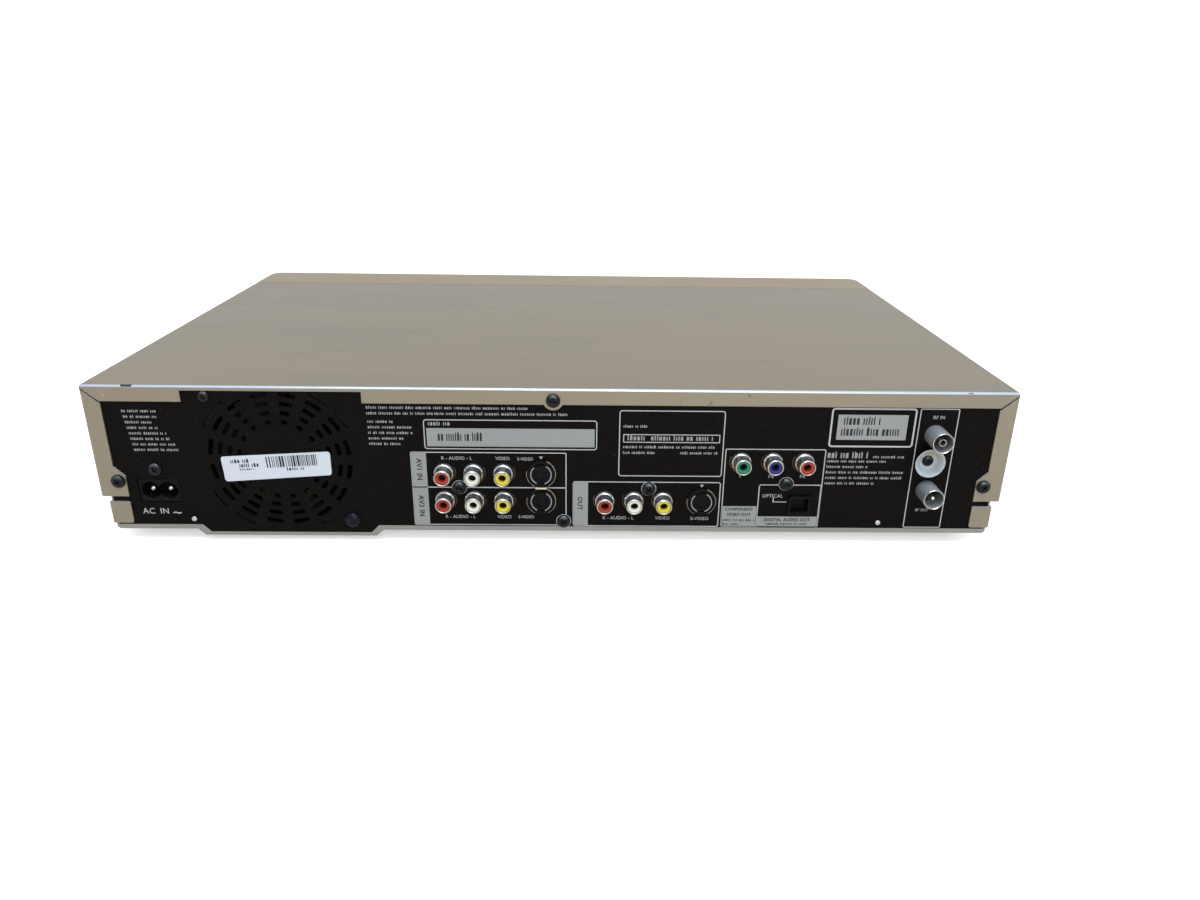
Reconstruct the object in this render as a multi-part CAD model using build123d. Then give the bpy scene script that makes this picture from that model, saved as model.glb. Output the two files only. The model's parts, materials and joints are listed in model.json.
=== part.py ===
from build123d import *
import math
import os

# A flat disc recorder. Millimetres, +Z up, +Y towards the rear sockets, +X to the right seen from
# the front. The origin is on the floor, under the middle of the overall box.

# Overall sizes
WIDTH = 430.0
HEIGHT = 79.0
BODY_DEPTH = 271.0
SEAM_DEPTH = 233.4
SOCKET_REACH = 11.0
KEY_PROUD = 1.0
PANEL_Z = 8.7
SHEET = 0.8
PANEL_SHEET = 1.0
GAP = 0.3
RUN = 0.05

REAR_Y = (BODY_DEPTH + KEY_PROUD - SOCKET_REACH) / 2
FRONT_Y = REAR_Y - BODY_DEPTH
SEAM_Y = REAR_Y - SEAM_DEPTH
PANEL_Y = REAR_Y - SHEET
PANEL_IN = PANEL_Y - PANEL_SHEET
HALF_W = WIDTH / 2

# Cover
COVER_Z = PANEL_Z + 15.0
BEND_R = 1.3
FLANGE_H = 7.7
FLANGE_W = 8.4
FOOT_FLANGE_W = 13.2
FLANGE_STEP_Z = PANEL_Z + 30.2
NOTCH_W = 82.0
NOTCH_H = 2.3
TAB_X = 0.6
TAB_R = 4.7
TAB_DROP = 5.7
MITRE_GAP = 0.7
DIMPLE_R = 5.0
DIMPLE_DEPTH = 2.2
SIDE_SCREW_Y = 14.0
SIDE_SCREW_Z = PANEL_Z + 34.0

# Skirts and base
SKIRT_INSET = 3.5
SKIRT_Z0 = PANEL_Z + 1.0
SKIRT_Z1 = PANEL_Z + 12.2
SKIRT_TAB = 9.6
BASE_Z = 6.3
BASE_SHEET = 1.0
BASE_TOP = BASE_Z + BASE_SHEET
UPSTAND_H = 4.0
SIDE_WALL_H = 50.0
FLOOR_DROP = 3.2
DROP_DEPTH = 30.0
FOOT_R = 15.0
FOOT_X = HALF_W - 45.0
FOOT_REAR_Y = 78.0
FOOT_FRONT_Y = -86.0
PAD_H = 1.2

# Fan and grille
FAN_X = HALF_W - 86.6
NOTCH_X0 = FAN_X - NOTCH_W / 2 + 0.6
NOTCH_X1 = NOTCH_X0 + NOTCH_W
FAN_Z = PANEL_Z + 34.06
FAN_SIZE = 70.0
FAN_DEPTH = 15.0
FAN_PITCH = 62.0
DUCT_R = 33.5
HUB_R = 14.5
BLADE_COUNT = 7
BLADE_T = 1.2
BLADE_TILT = 35.0
STRUT_T = 3.0
RING_R0 = 18.92
RING_PITCH = 4.45
RING_COUNT = 5
SLOT_W = 2.2
RIB_W = 4.5
COLUMNS = 16
LONG_COLUMNS = (33.75, 56.25, -33.75, -56.25, 123.75, 146.25, -146.25)

# Screws and rivets
HEAD_R = 3.3
SMALL_HEAD_R = 2.8
HEAD_H = 1.8
SHANK_R = 1.5
SHANK_L = 6.0
CROSS_W = 0.9
CROSS_DEPTH = 0.9
CUP_X = -HALF_W + 38.4
CUP_Z = PANEL_Z + 36.1
CUP_R = 7.1
CUP_H = 4.3
DOME_R = 4.0
RIVET_R = 1.3
RIVET_RIGHT_X = HALF_W - 41.7
RIVET_LEFT_X = -HALF_W + 57.7
RIVET_Z = PANEL_Z + 3.0

# Mains inlet
INLET_X = HALF_W - 27.6
INLET_Z = PANEL_Z + 17.8
INLET_LOBE_R = 4.25
INLET_LOBE_X = 4.15
INLET_DEPTH = 10.0
INLET_BODY = 20.0
INLET_W = 19.2
INLET_H = 12.2
INLET_PIN_R = 1.2
INLET_ROOT_R = 1.0
INLET_ROOT_L = 4.0
INLET_PIN_L = 8.0

# Phono, S-video, optical and aerial sockets
PHONO_R = 4.1
PHONO_BORE_R = 3.6
PHONO_COLLAR_R = 4.9
PHONO_COLLAR_L = 2.8
PHONO_L = 8.0
PHONO_HOLE_R = 1.6
PHONO_PITCH = 14.0
AV_X = 38.4
ROW_1_Z = PANEL_Z + 28.1
ROW_2_Z = PANEL_Z + 14.1
OUT_X = -37.8
COMPONENT_X = -103.05
COMPONENT_PITCH = 15.0
COMPONENT_Z = PANEL_Z + 34.7
SVIDEO_X = 6.5
SVIDEO_OUT_X = -70.2
SVIDEO_R = 4.9
SVIDEO_WALL = 0.6
SVIDEO_BOSS_R = 6.8
SVIDEO_PROUD = 2.4
BLOCK_DEPTH = 14.0
BLOCK_EDGE = 7.2
BOARD_T = 1.6
OPTICAL_X = -117.55
OPTICAL_Z = PANEL_Z + 12.55
OPTICAL_W = 10.7
OPTICAL_H = 9.5
OPTICAL_PROUD = 1.6
OPTICAL_WALL = 1.1
OPTICAL_BODY = 13.0
SHUTTER_T = 0.7
SHUTTER_BACK = 2.8
SHUTTER_PIN_R = 0.45
AERIAL_X = -HALF_W + 37.0
AERIAL_IN_Z = PANEL_Z + 49.1
AERIAL_OUT_Z = PANEL_Z + 20.8
AERIAL_R = 4.9
AERIAL_ROOT_R = 4.4
AERIAL_ROOT_L = 0.3
AERIAL_WALL = 0.5
AERIAL_L = SOCKET_REACH + SHEET
TUNER_W = 22.0
TUNER_DEPTH = 66.0
TUNER_Z0 = 14.0
TUNER_Z1 = 72.0

# Front
PLAN_R = 8.0
WALL = 2.5
FRONT_Z0 = 7.0
FRONT_GAP = 0.7
TONGUE = 4.0
TONGUE_W = 16.0
TONGUE_PITCH = 100.0
FASCIA_W = 138.0
FASCIA_H = 14.0
FASCIA_T = 3.0
FASCIA_Z = 53.0
DISPLAY_H = 20.0
DISPLAY_T = 2.0
FLAP_X = HALF_W - 85.0
FLAP_W = 150.0
FLAP_H = 22.0
FLAP_Z0 = 13.0
FLAP_T = 2.4
FLAP_PIN_R = 0.7
FLAP_PIN_L = 3.0
TUB_DEPTH = 22.0
TUB_T = 2.0
FRONT_JACK_PITCH = 16.0
GROOVE_Z = 40.0
GROOVE_W = 1.0
POWER_X = -HALF_W + 25.0
POWER_R = 7.5
KEY_R = 5.0
KEY_PITCH = 20.0
KEY_X = HALF_W - 25.0 - 2 * KEY_PITCH
KEY_Z = 54.0
OPEN_X = POWER_X
OPEN_Z = 33.0
OPEN_W = 16.0
OPEN_H = 6.0
KEY_TRAVEL = 0.8
KEY_LIP = 1.5
KEY_LIP_T = 1.2
FRONT_BOARD_Y = FRONT_Y + 16.0

# Disc drive
DRIVE_X = -HALF_W + 120.0
DRIVE_Y0 = -118.0
DRIVE_Y1 = 62.0
DRIVE_HALF = 73.0
DECK_Z = 36.0
DECK_T = 2.5
RAIL_TOP = 57.0
RAIL_IN = 64.5
LEDGE = 3.0
TRAY_HALF = 64.0
TRAY_Z = 48.0
TRAY_T = 6.0
TRAY_REAR_Y = 35.0
TRAY_TRAVEL = 136.0
DISC_R = 60.0
DISC_Y = -66.0
SLOT_HALF = 17.0
RACK_MODULE = 1.0
PINION_TEETH = 14
RACK_X = DRIVE_X - 57.2
GEAR_Y = -108.0
WHEEL_R = 12.0
PULLEY_R = 3.0
RIM = 1.0
BELT_T = 1.0
BELT_SPAN = 34.0
MOTOR_R = 9.0
MOTOR_H = 16.0
TRAVERSE_HALF = 46.0
TRAVERSE_Y0 = -88.0
TRAVERSE_PIVOT_Y = 40.0
TRAVERSE_PIN_R = 1.5
ROD_X = 26.0
ROD_R = 1.5
ROD_Z = DECK_Z + 5.0
SCREW_X = 36.0
SCREW_R = 1.8
LENS_R0 = 24.0
SLED_TRAVEL = 36.0
SLED_L = 24.0
TABLE_R = 15.0
TABLE_Z = 53.0
TABLE_T = 2.5
CONE_R = 7.3
SPINDLE_R = 1.5
SPINDLE_MOTOR_R = 13.0
PUCK_R = 17.0
BRIDGE_Z = 58.5
BRIDGE_T = 1.2
BRIDGE_HALF_Y = 22.0

# The display fills the front between the tray's door and the keys
DISPLAY_GAP = 17.0
DISPLAY_X0 = DRIVE_X + FASCIA_W / 2 + DISPLAY_GAP
DISPLAY_X1 = KEY_X - KEY_R - DISPLAY_GAP + 1.0
DISPLAY_X = (DISPLAY_X0 + DISPLAY_X1) / 2
DISPLAY_W = DISPLAY_X1 - DISPLAY_X0

# Hard disk
DISK_X1 = HALF_W - 12.0
DISK_Y0 = -98.0
DISK_L = 147.0
DISK_W = 101.6
DISK_H = 26.1
DISK_WALL = 3.0
DISK_FLOOR = 5.0
DISK_LID = 2.0
BRACKET_Z = 20.8
BRACKET_T = 1.2
PLATTER_R = 47.5
PLATTER_T = 1.2
PLATTER_GAP = 3.8
PLATTER_HUB_R = 12.5
ARM_T = 1.6
ARM_SPREAD = 36.0
COIL_L = 14.0
PIVOT_INSET_X = 28.0
PIVOT_INSET_Y = 17.8

# Boards
POWER_W = 106.0
POWER_X1 = HALF_W - 9.0
POWER_X0 = POWER_X1 - POWER_W
POWER_Y0 = 14.0
POWER_Y1 = 104.0
STANDOFF_H = 6.7
CORE_W = 32.0
CORE_D = 28.0
CORE_H = 30.0
COIL_W = 38.0
COIL_D = 18.0
COIL_H = 22.0
BIG_CAN_R = 11.0
BIG_CAN_H = 32.0
SMALL_CAN_R = 5.5
SMALL_CAN_H = 22.0
SMALL_CAN_PITCH = 15.0
SMALL_CANS = 3
SINK_W = 50.0
SINK_H = 34.0
SINK_BASE = 2.4
FIN_L = 6.0
FIN_T = 1.6
FINS = 8
MAIN_X0 = DRIVE_X + DRIVE_HALF + 6.0
MAIN_X1 = POWER_X0 - 6.0
MAIN_Y0 = 16.0
MAIN_Y1 = 84.0


def block(x0, x1, y0, y1, z0, z1):
    """A block between two opposite corners."""
    middle = Pos((x0 + x1) / 2, (y0 + y1) / 2, (z0 + z1) / 2)
    return middle * Box(abs(x1 - x0), abs(y1 - y0), abs(z1 - z0))


def rod_x(y, z, x0, x1, r):
    """A cylinder along X."""
    return Pos((x0 + x1) / 2, y, z) * Rot(0, 90, 0) * Cylinder(r, x1 - x0)


def rod_y(x, z, y0, y1, r):
    """A cylinder along Y."""
    return Pos(x, (y0 + y1) / 2, z) * Rot(90, 0, 0) * Cylinder(r, y1 - y0)


def rod_z(x, y, z0, z1, r):
    """A cylinder along Z."""
    return Pos(x, y, (z0 + z1) / 2) * Cylinder(r, z1 - z0)


def prism_y(points, y0, y1):
    """A solid of constant section, drawn in X and Z, that runs along Y."""
    face = make_face(Polyline(*[(x, y0, z) for x, z in points], close=True))
    return extrude(face, amount=y1 - y0, dir=(0, 1, 0))


def prism_z(points, z0, z1):
    """A solid of constant plan, drawn in X and Y."""
    face = make_face(Polyline(*[(x, y, z0) for x, y in points], close=True))
    return extrude(face, amount=z1 - z0, dir=(0, 0, 1))


def both_sides(shape):
    """A shape and its mirror image across the middle of the recorder."""
    return [shape, mirror(shape, about=Plane.YZ)]


def save(name, shapes):
    """Write one node, which may hold several separate solids."""
    solids = []
    for shape in shapes if isinstance(shapes, list) else [shapes]:
        solids.extend(shape.solids())
    export_step(Compound(children=solids), f"parts/{name}.step")


# Casing

def top_cover():
    """Folded sheet: top, two sides and a rear flange with mitred corners and a notch for the fan."""
    outer = block(-HALF_W, HALF_W, SEAM_Y, REAR_Y, COVER_Z, HEIGHT)
    inner = block(-HALF_W + SHEET, HALF_W - SHEET, SEAM_Y - 1, PANEL_Y, COVER_Z - 1, HEIGHT - SHEET)
    folded = []
    for body, radius in ((outer, BEND_R), (inner, BEND_R - SHEET)):
        top_edges = body.edges().filter_by(Axis.Y).group_by(Axis.Z)[-1]
        rear_top = body.edges().filter_by(Axis.X).group_by(Axis.Y)[-1].sort_by(Axis.Z)[-1:]
        rear_sides = body.edges().filter_by(Axis.Z).group_by(Axis.Y)[-1]
        folded.append(fillet(top_edges + rear_top + rear_sides, radius))
    shell = folded[0] - folded[1]
    top_z = HEIGHT - FLANGE_H
    step = FOOT_FLANGE_W - FLANGE_W
    opening = [
        (-HALF_W + FOOT_FLANGE_W, COVER_Z - 1),
        (-HALF_W + FOOT_FLANGE_W, FLANGE_STEP_Z - step),
        (-HALF_W + FLANGE_W, FLANGE_STEP_Z),
        (-HALF_W + FLANGE_W, top_z),
        (NOTCH_X0, top_z),
        (NOTCH_X0, HEIGHT - NOTCH_H),
        (NOTCH_X1, HEIGHT - NOTCH_H),
        (NOTCH_X1, top_z),
        (HALF_W - FLANGE_W, top_z),
        (HALF_W - FLANGE_W, FLANGE_STEP_Z),
        (HALF_W - FOOT_FLANGE_W, FLANGE_STEP_Z - step),
        (HALF_W - FOOT_FLANGE_W, COVER_Z - 1),
    ]
    shell -= prism_y(opening, PANEL_Y - 1, REAR_Y + 1)
    tab_z = HEIGHT - TAB_DROP
    tab = rod_y(TAB_X, tab_z, PANEL_Y, REAR_Y, TAB_R)
    tab &= block(TAB_X - TAB_R, TAB_X + TAB_R, PANEL_Y, REAR_Y, tab_z - TAB_R, top_z + SHEET)
    shell += tab
    mitre = [
        (HALF_W - FLANGE_W - 1, top_z - 1),
        (HALF_W - FLANGE_W - 1 + MITRE_GAP, top_z - 1 - MITRE_GAP),
        (HALF_W + 1, HEIGHT - BEND_R - MITRE_GAP + 1.2),
        (HALF_W + 1, HEIGHT - BEND_R + 1.2),
    ]
    for cut in both_sides(prism_y(mitre, PANEL_Y - 0.05, REAR_Y + 1)):
        shell -= cut
    dimple_x = HALF_W - DIMPLE_DEPTH
    dimple = rod_x(SIDE_SCREW_Y, SIDE_SCREW_Z, dimple_x - SHEET, HALF_W - SHEET, DIMPLE_R + SHEET)
    hollow = rod_x(SIDE_SCREW_Y, SIDE_SCREW_Z, dimple_x, HALF_W + 1, DIMPLE_R)
    hole = rod_x(SIDE_SCREW_Y, SIDE_SCREW_Z, dimple_x - 2, HALF_W, SHANK_R + GAP)
    for piece in both_sides(dimple):
        shell += piece
    for piece in both_sides(hollow) + both_sides(hole):
        shell -= piece
    for x, z in cover_screw_places():
        shell -= rod_y(x, z, PANEL_Y - 1, REAR_Y + 1, SHANK_R + GAP)
    return shell


def cover_screw_places():
    """Where the three rear screws of the cover are, in X and Z."""
    side_x = HALF_W - FOOT_FLANGE_W / 2 - 3.0
    side_z = COVER_Z + 7.8
    return [(TAB_X, HEIGHT - TAB_DROP), (side_x, side_z), (-side_x, side_z)]


def screw(length=SHANK_L, head_r=HEAD_R):
    """A pan-head screw along +Z, with the underside of its head at the origin."""
    head = Cylinder(head_r, HEAD_H, align=(Align.CENTER, Align.CENTER, Align.MIN))
    head = fillet(head.edges().group_by(Axis.Z)[-1], 0.8)
    shank = Cylinder(SHANK_R, length, align=(Align.CENTER, Align.CENTER, Align.MAX))
    arm = Pos(0, 0, HEAD_H) * Box(head_r * 1.1, CROSS_W, CROSS_DEPTH * 2)
    return head + shank - arm - Rot(0, 0, 90) * arm


def rear_screw(x, z, y, head_r=HEAD_R):
    """A screw driven in from the rear."""
    return Pos(x, y, z) * Rot(-90, 0, 0) * screw(head_r=head_r)


def side_screws():
    """The cover's two side screws, sunk in its dimples."""
    right = Pos(HALF_W - DIMPLE_DEPTH, SIDE_SCREW_Y, SIDE_SCREW_Z) * Rot(0, 90, 0) * screw(4.0)
    return both_sides(right)


def panel_outline():
    """The rear panel's outline in X and Z, with its drop under the fan."""
    half = skirt_inner() - BASE_SHEET
    low = PANEL_Z - FLOOR_DROP - 0.6
    ramp = PANEL_Z - low
    return [
        (-half, PANEL_Z),
        (NOTCH_X0 - ramp + 1.0, PANEL_Z),
        (NOTCH_X0 + 1.0, low),
        (NOTCH_X1 - 4.0, low),
        (NOTCH_X1 - 4.0 + ramp, PANEL_Z),
        (half, PANEL_Z),
        (half, HEIGHT - SHEET - BEND_R + GAP),
        (-half, HEIGHT - SHEET - BEND_R + GAP),
    ]


def grille():
    """The fan grille's slots, as one cutter."""
    slots = []
    step = 360.0 / COLUMNS
    for ring in range(RING_COUNT):
        radius = RING_R0 + ring * RING_PITCH
        half = step / 2 - math.degrees((RIB_W / 2 + SLOT_W / 2) / radius)
        for column in range(COLUMNS):
            angle = (column + 0.5) * step
            signed = angle if angle < 180 else angle - 360
            if ring == RING_COUNT - 1 and signed not in LONG_COLUMNS:
                continue
            arc = CenterArc((0, 0), radius, angle - half, 2 * half)
            slots.append(SlotArc(arc, SLOT_W))
    cutter = extrude(Sketch() + slots, amount=PANEL_SHEET + 2)
    # The angle runs from the top towards +X.
    cutter = mirror(Rot(0, 0, 90) * cutter, about=Plane.YZ)
    return Pos(FAN_X, PANEL_Y + 1, FAN_Z) * Rot(90, 0, 0) * cutter


def rear_panel():
    """Painted steel sheet with every socket hole, the grille and the drop under the fan."""
    sheet = prism_y(panel_outline(), PANEL_IN, PANEL_Y)
    sheet -= grille()
    for x, z, _ in phono_places():
        sheet -= rod_y(x, z, PANEL_IN - 1, PANEL_Y + 1, PHONO_COLLAR_R + 0.1)
    for x, z in svideo_places():
        sheet -= rod_y(x, z, PANEL_IN - 1, PANEL_Y + 1, SVIDEO_BOSS_R + 0.1)
    for x, z, _ in aerial_places():
        sheet -= rod_y(x, z, PANEL_IN - 1, PANEL_Y + 1, AERIAL_ROOT_R + 0.1)
    half_w = OPTICAL_W / 2 + 0.1
    half_h = OPTICAL_H / 2 + 0.1
    sheet -= block(OPTICAL_X - half_w, OPTICAL_X + half_w, PANEL_IN - 1, PANEL_Y + 1,
                   OPTICAL_Z - half_h, OPTICAL_Z + half_h)
    half_w = INLET_W / 2 + 0.1
    half_h = INLET_H / 2 + 0.1
    sheet -= block(INLET_X - half_w, INLET_X + half_w, PANEL_IN - 1, PANEL_Y + 1,
                   INLET_Z - half_h, INLET_Z + half_h)
    for x, z in panel_screw_places() + cover_screw_places() + [(CUP_X, CUP_Z)]:
        sheet -= rod_y(x, z, PANEL_IN - 1, PANEL_Y + 1, SHANK_R + 0.1)
    for x, z in rivet_places() + [dome_place()]:
        sheet -= rod_y(x, z, PANEL_IN - 1, PANEL_Y + 1, RIVET_R * 0.7)
    return sheet


def panel_screw_places():
    """Screws on the rear panel, in X and Z: fan, inlet and socket blocks."""
    return [
        (FAN_X + FAN_PITCH / 2, FAN_Z + FAN_PITCH / 2),
        (INLET_X, INLET_Z + 11.1),
        (AV_X + PHONO_PITCH / 2, (ROW_1_Z + ROW_2_Z) / 2 - 0.6),
        (AV_X - 42.5, PANEL_Z + 2.9),
        (OUT_X - PHONO_PITCH / 2, ROW_2_Z + 6.2),
        (COMPONENT_X - COMPONENT_PITCH / 2, COMPONENT_Z - 11.4),
    ]


def rivet_places():
    """The two small rivets near the panel's lower edge, in X and Z."""
    return [(RIVET_RIGHT_X, RIVET_Z), (RIVET_LEFT_X, RIVET_Z)]


def dome_place():
    """The plastic dome that holds the fan's lower corner, in X and Z."""
    return (FAN_X - FAN_PITCH / 2, FAN_Z - FAN_PITCH / 2)


def cover_screws():
    """The cover's screws, three at the rear and one in each side."""
    return [rear_screw(x, z, REAR_Y) for x, z in cover_screw_places()] + side_screws()


def panel_screws():
    """All screws on the rear panel, with the long one in the cup."""
    fan_screw, *others = panel_screw_places()
    screws = [rear_screw(x, z, PANEL_Y) for x, z in others]
    screws.append(rear_screw(*fan_screw, PANEL_Y, SMALL_HEAD_R))
    screws.append(rear_screw(CUP_X, CUP_Z, PANEL_Y + 0.8))
    return screws


def panel_rivets():
    """Two small rivets and the fan's plastic dome."""
    rivets = []
    for x, z in rivet_places():
        head = rod_y(x, z, PANEL_Y, PANEL_Y + 0.7, RIVET_R)
        rivets.append(head + rod_y(x, z, PANEL_IN - 1, PANEL_Y, RIVET_R * 0.65))
    x, z = dome_place()
    dome = Pos(x, PANEL_Y, z) * Rot(-90, 0, 0) * Cylinder(
        DOME_R, DOME_R * 0.6, align=(Align.CENTER, Align.CENTER, Align.MIN))
    dome = fillet(dome.edges().group_by(Axis.Y)[-1], DOME_R * 0.55)
    rivets.append(dome + rod_y(x, z, PANEL_IN - FAN_DEPTH, PANEL_Y, RIVET_R * 0.65))
    return rivets


def screw_cup():
    """A white plastic cup under the aerial block's screw."""
    profile = [(SHANK_R + 0.2, 0), (3.9, 0), (CUP_R, CUP_H - 0.6), (CUP_R, CUP_H),
               (CUP_R - 0.7, CUP_H), (HEAD_R + 0.3, 1.2), (HEAD_R + 0.3, 0.8), (SHANK_R + 0.2, 0.8)]
    section = make_face(Polyline(*[(r, 0, h) for r, h in profile], close=True))
    cup = revolve(section, Axis.Z)
    return Pos(CUP_X, PANEL_Y, CUP_Z) * Rot(-90, 0, 0) * cup


def skirt_inner():
    """The X of the skirt's inner face, where the base's side wall stands."""
    return HALF_W - SKIRT_INSET - SHEET


def side_skirts():
    """Painted strips under the cover's sides, each with a tab folded round the rear panel."""
    outer = HALF_W - SKIRT_INSET
    plate = block(outer - SHEET, outer, SEAM_Y, REAR_Y, SKIRT_Z0, SKIRT_Z1)
    tab = block(outer - SKIRT_TAB, outer, PANEL_Y, REAR_Y, SKIRT_Z0, SKIRT_Z1)
    tab = fillet(tab.edges().filter_by(Axis.Y).group_by(Axis.X)[0], 1.2)
    return both_sides(plate + tab)


def chassis_base():
    """Galvanised floor with side walls, a rear upstand and a pressed drop under the fan."""
    half = skirt_inner()
    front = SEAM_Y
    floor = block(-half, half, front, PANEL_Y, BASE_Z, BASE_TOP)
    for wall in both_sides(block(half - SHEET, half, front, PANEL_Y, BASE_Z, BASE_TOP + SIDE_WALL_H)):
        floor += wall
    upstand = block(-half, half, PANEL_IN - SHEET, PANEL_IN, BASE_Z, PANEL_Z + UPSTAND_H)
    lip = block(-half, half, PANEL_IN, PANEL_Y, BASE_Z, PANEL_Z)
    floor += upstand + lip
    floor = fillet(floor.edges().filter_by(Axis.Y).group_by(Axis.Z)[0], 1.8)
    drop = drop_outline(0.0)
    cutter = prism_y(drop, PANEL_Y - DROP_DEPTH, PANEL_Y + 1)
    floor -= cutter
    pressed = prism_y(drop, PANEL_Y - DROP_DEPTH, PANEL_Y)
    hollow = prism_y(drop_outline(SHEET), PANEL_Y - DROP_DEPTH + SHEET, PANEL_IN)
    front_lip = prism_y(panel_outline(), PANEL_IN, PANEL_Y + 1)
    tray = pressed - hollow - front_lip
    floor += tray
    fan_half = FAN_SIZE / 2 + 1
    floor -= block(FAN_X - fan_half, FAN_X + fan_half, PANEL_IN - FAN_DEPTH - 1, PANEL_IN + 0.01,
                   FAN_Z - fan_half, FAN_Z)
    for x, y, z0 in standoff_places():
        floor += rod_z(x, y, BASE_TOP - 0.2, z0, 3.0)
    for x, z in rivet_places() + panel_screw_places():
        floor -= rod_y(x, z, PANEL_IN - SHEET - 1, PANEL_IN + 0.1, SHANK_R + 0.1)
    for hole in both_sides(rod_x(SIDE_SCREW_Y, SIDE_SCREW_Z, half - SHEET - 1, half + 1, SHANK_R + 0.1)):
        floor -= hole
    return floor


def drop_outline(wall):
    """The section of the pressed drop, inset by a wall on its floor and ramps."""
    low = BASE_Z - FLOOR_DROP + wall
    top = PANEL_Z + UPSTAND_H
    ramp = FLOOR_DROP + 0.2
    left = NOTCH_X0 - 1.5 + wall
    right = NOTCH_X1 - 1.0 - wall
    return [
        (left - ramp, BASE_Z + wall),
        (left, low),
        (right, low),
        (right + ramp, BASE_Z + wall),
        (right + ramp, top),
        (left - ramp, top),
    ]


def standoff_places():
    """Pillars that carry the boards: X, Y and the height of their tops."""
    top = BASE_TOP + STANDOFF_H
    places = []
    for x in (POWER_X0 + 5, POWER_X1 - 5):
        for y in (POWER_Y0 + 5, POWER_Y1 - 5):
            places.append((x, y, top))
    for x in (MAIN_X0 + 5, MAIN_X1 - 5):
        for y in (MAIN_Y0 + 5, MAIN_Y1 - 5):
            places.append((x, y, top))
    return places


def feet():
    """Four moulded feet, each with a soft pad."""
    result = []
    for x in (-FOOT_X, FOOT_X):
        for y in (FOOT_FRONT_Y, FOOT_REAR_Y):
            foot = rod_z(x, y, PAD_H, BASE_Z, FOOT_R)
            foot = chamfer(foot.edges().group_by(Axis.Z)[0], 1.0)
            result.append(foot + rod_z(x, y, 0, PAD_H + 0.5, FOOT_R - 3))
    return result


# Sockets

def phono_places():
    """Every rear phono socket: X, Z and the colour of its insert."""
    places = []
    for z in (ROW_1_Z, ROW_2_Z):
        places.append((AV_X + PHONO_PITCH, z, "red"))
        places.append((AV_X, z, "white"))
        places.append((AV_X - PHONO_PITCH, z, "yellow"))
    places.append((OUT_X + PHONO_PITCH, ROW_2_Z, "red"))
    places.append((OUT_X, ROW_2_Z, "white"))
    places.append((OUT_X - PHONO_PITCH, ROW_2_Z, "yellow"))
    places.append((COMPONENT_X + COMPONENT_PITCH, COMPONENT_Z, "green"))
    places.append((COMPONENT_X, COMPONENT_Z, "blue"))
    places.append((COMPONENT_X - COMPONENT_PITCH, COMPONENT_Z, "red"))
    return places


def front_phono_places():
    """The three phono sockets behind the flap: X, Z and colour."""
    z = FLAP_Z0 + FLAP_H / 2
    return [(FLAP_X + (i - 1) * FRONT_JACK_PITCH, z, colour)
            for i, colour in enumerate(("yellow", "white", "red"))]


def svideo_places():
    """The three rear S-video sockets, in X and Z."""
    return [(SVIDEO_X, ROW_1_Z), (SVIDEO_X, ROW_2_Z), (SVIDEO_OUT_X, ROW_2_Z)]


def aerial_places():
    """The two aerial sockets: X, Z and whether the centre is a pin."""
    return [(AERIAL_X, AERIAL_IN_Z, False), (AERIAL_X, AERIAL_OUT_Z, True)]


def revolved(profile):
    """A body of revolution about Z from (radius, height) points."""
    return revolve(make_face(Polyline(*[(r, 0, h) for r, h in profile], close=True)), Axis.Z)


def phono_shell():
    """A nickel shell along +Z with its foot on the socket block, PANEL_SHEET under the panel's face."""
    low = -PANEL_SHEET
    return revolved([
        (PHONO_BORE_R, low), (PHONO_COLLAR_R, low), (PHONO_COLLAR_R, PHONO_COLLAR_L - 0.4),
        (PHONO_COLLAR_R - 0.4, PHONO_COLLAR_L), (PHONO_R, PHONO_COLLAR_L),
        (PHONO_R, PHONO_L - 0.3), (PHONO_R - 0.3, PHONO_L), (PHONO_BORE_R, PHONO_L),
    ])


def phono_insert():
    """The coloured plastic plug in a phono shell, with its contact hole."""
    outer = PHONO_BORE_R - RUN
    return revolved([
        (PHONO_HOLE_R, -PANEL_SHEET), (outer, -PANEL_SHEET), (outer, PHONO_L - 0.6),
        (PHONO_HOLE_R, PHONO_L - 0.9),
    ])


def out_of_panel(x, z, shape):
    """A socket part drawn along +Z, stood on the rear panel's face and pointing out."""
    return Pos(x, PANEL_Y, z) * Rot(-90, 0, 0) * shape


def out_of_tub(x, z, shape):
    """A socket part drawn along +Z, stood in the front compartment and pointing out."""
    return Pos(x, FRONT_Y + TUB_DEPTH - PANEL_SHEET, z) * Rot(90, 0, 0) * shape


def phono_shells():
    """Every phono shell, at the rear and behind the flap."""
    rear = [out_of_panel(x, z, phono_shell()) for x, z, _ in phono_places()]
    front = [out_of_tub(x, z, phono_shell()) for x, z, _ in front_phono_places()]
    return rear + front


def phono_inserts(colour):
    """The inserts of one colour."""
    rear = [out_of_panel(x, z, phono_insert()) for x, z, c in phono_places() if c == colour]
    front = [out_of_tub(x, z, phono_insert()) for x, z, c in front_phono_places() if c == colour]
    return rear + front


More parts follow.
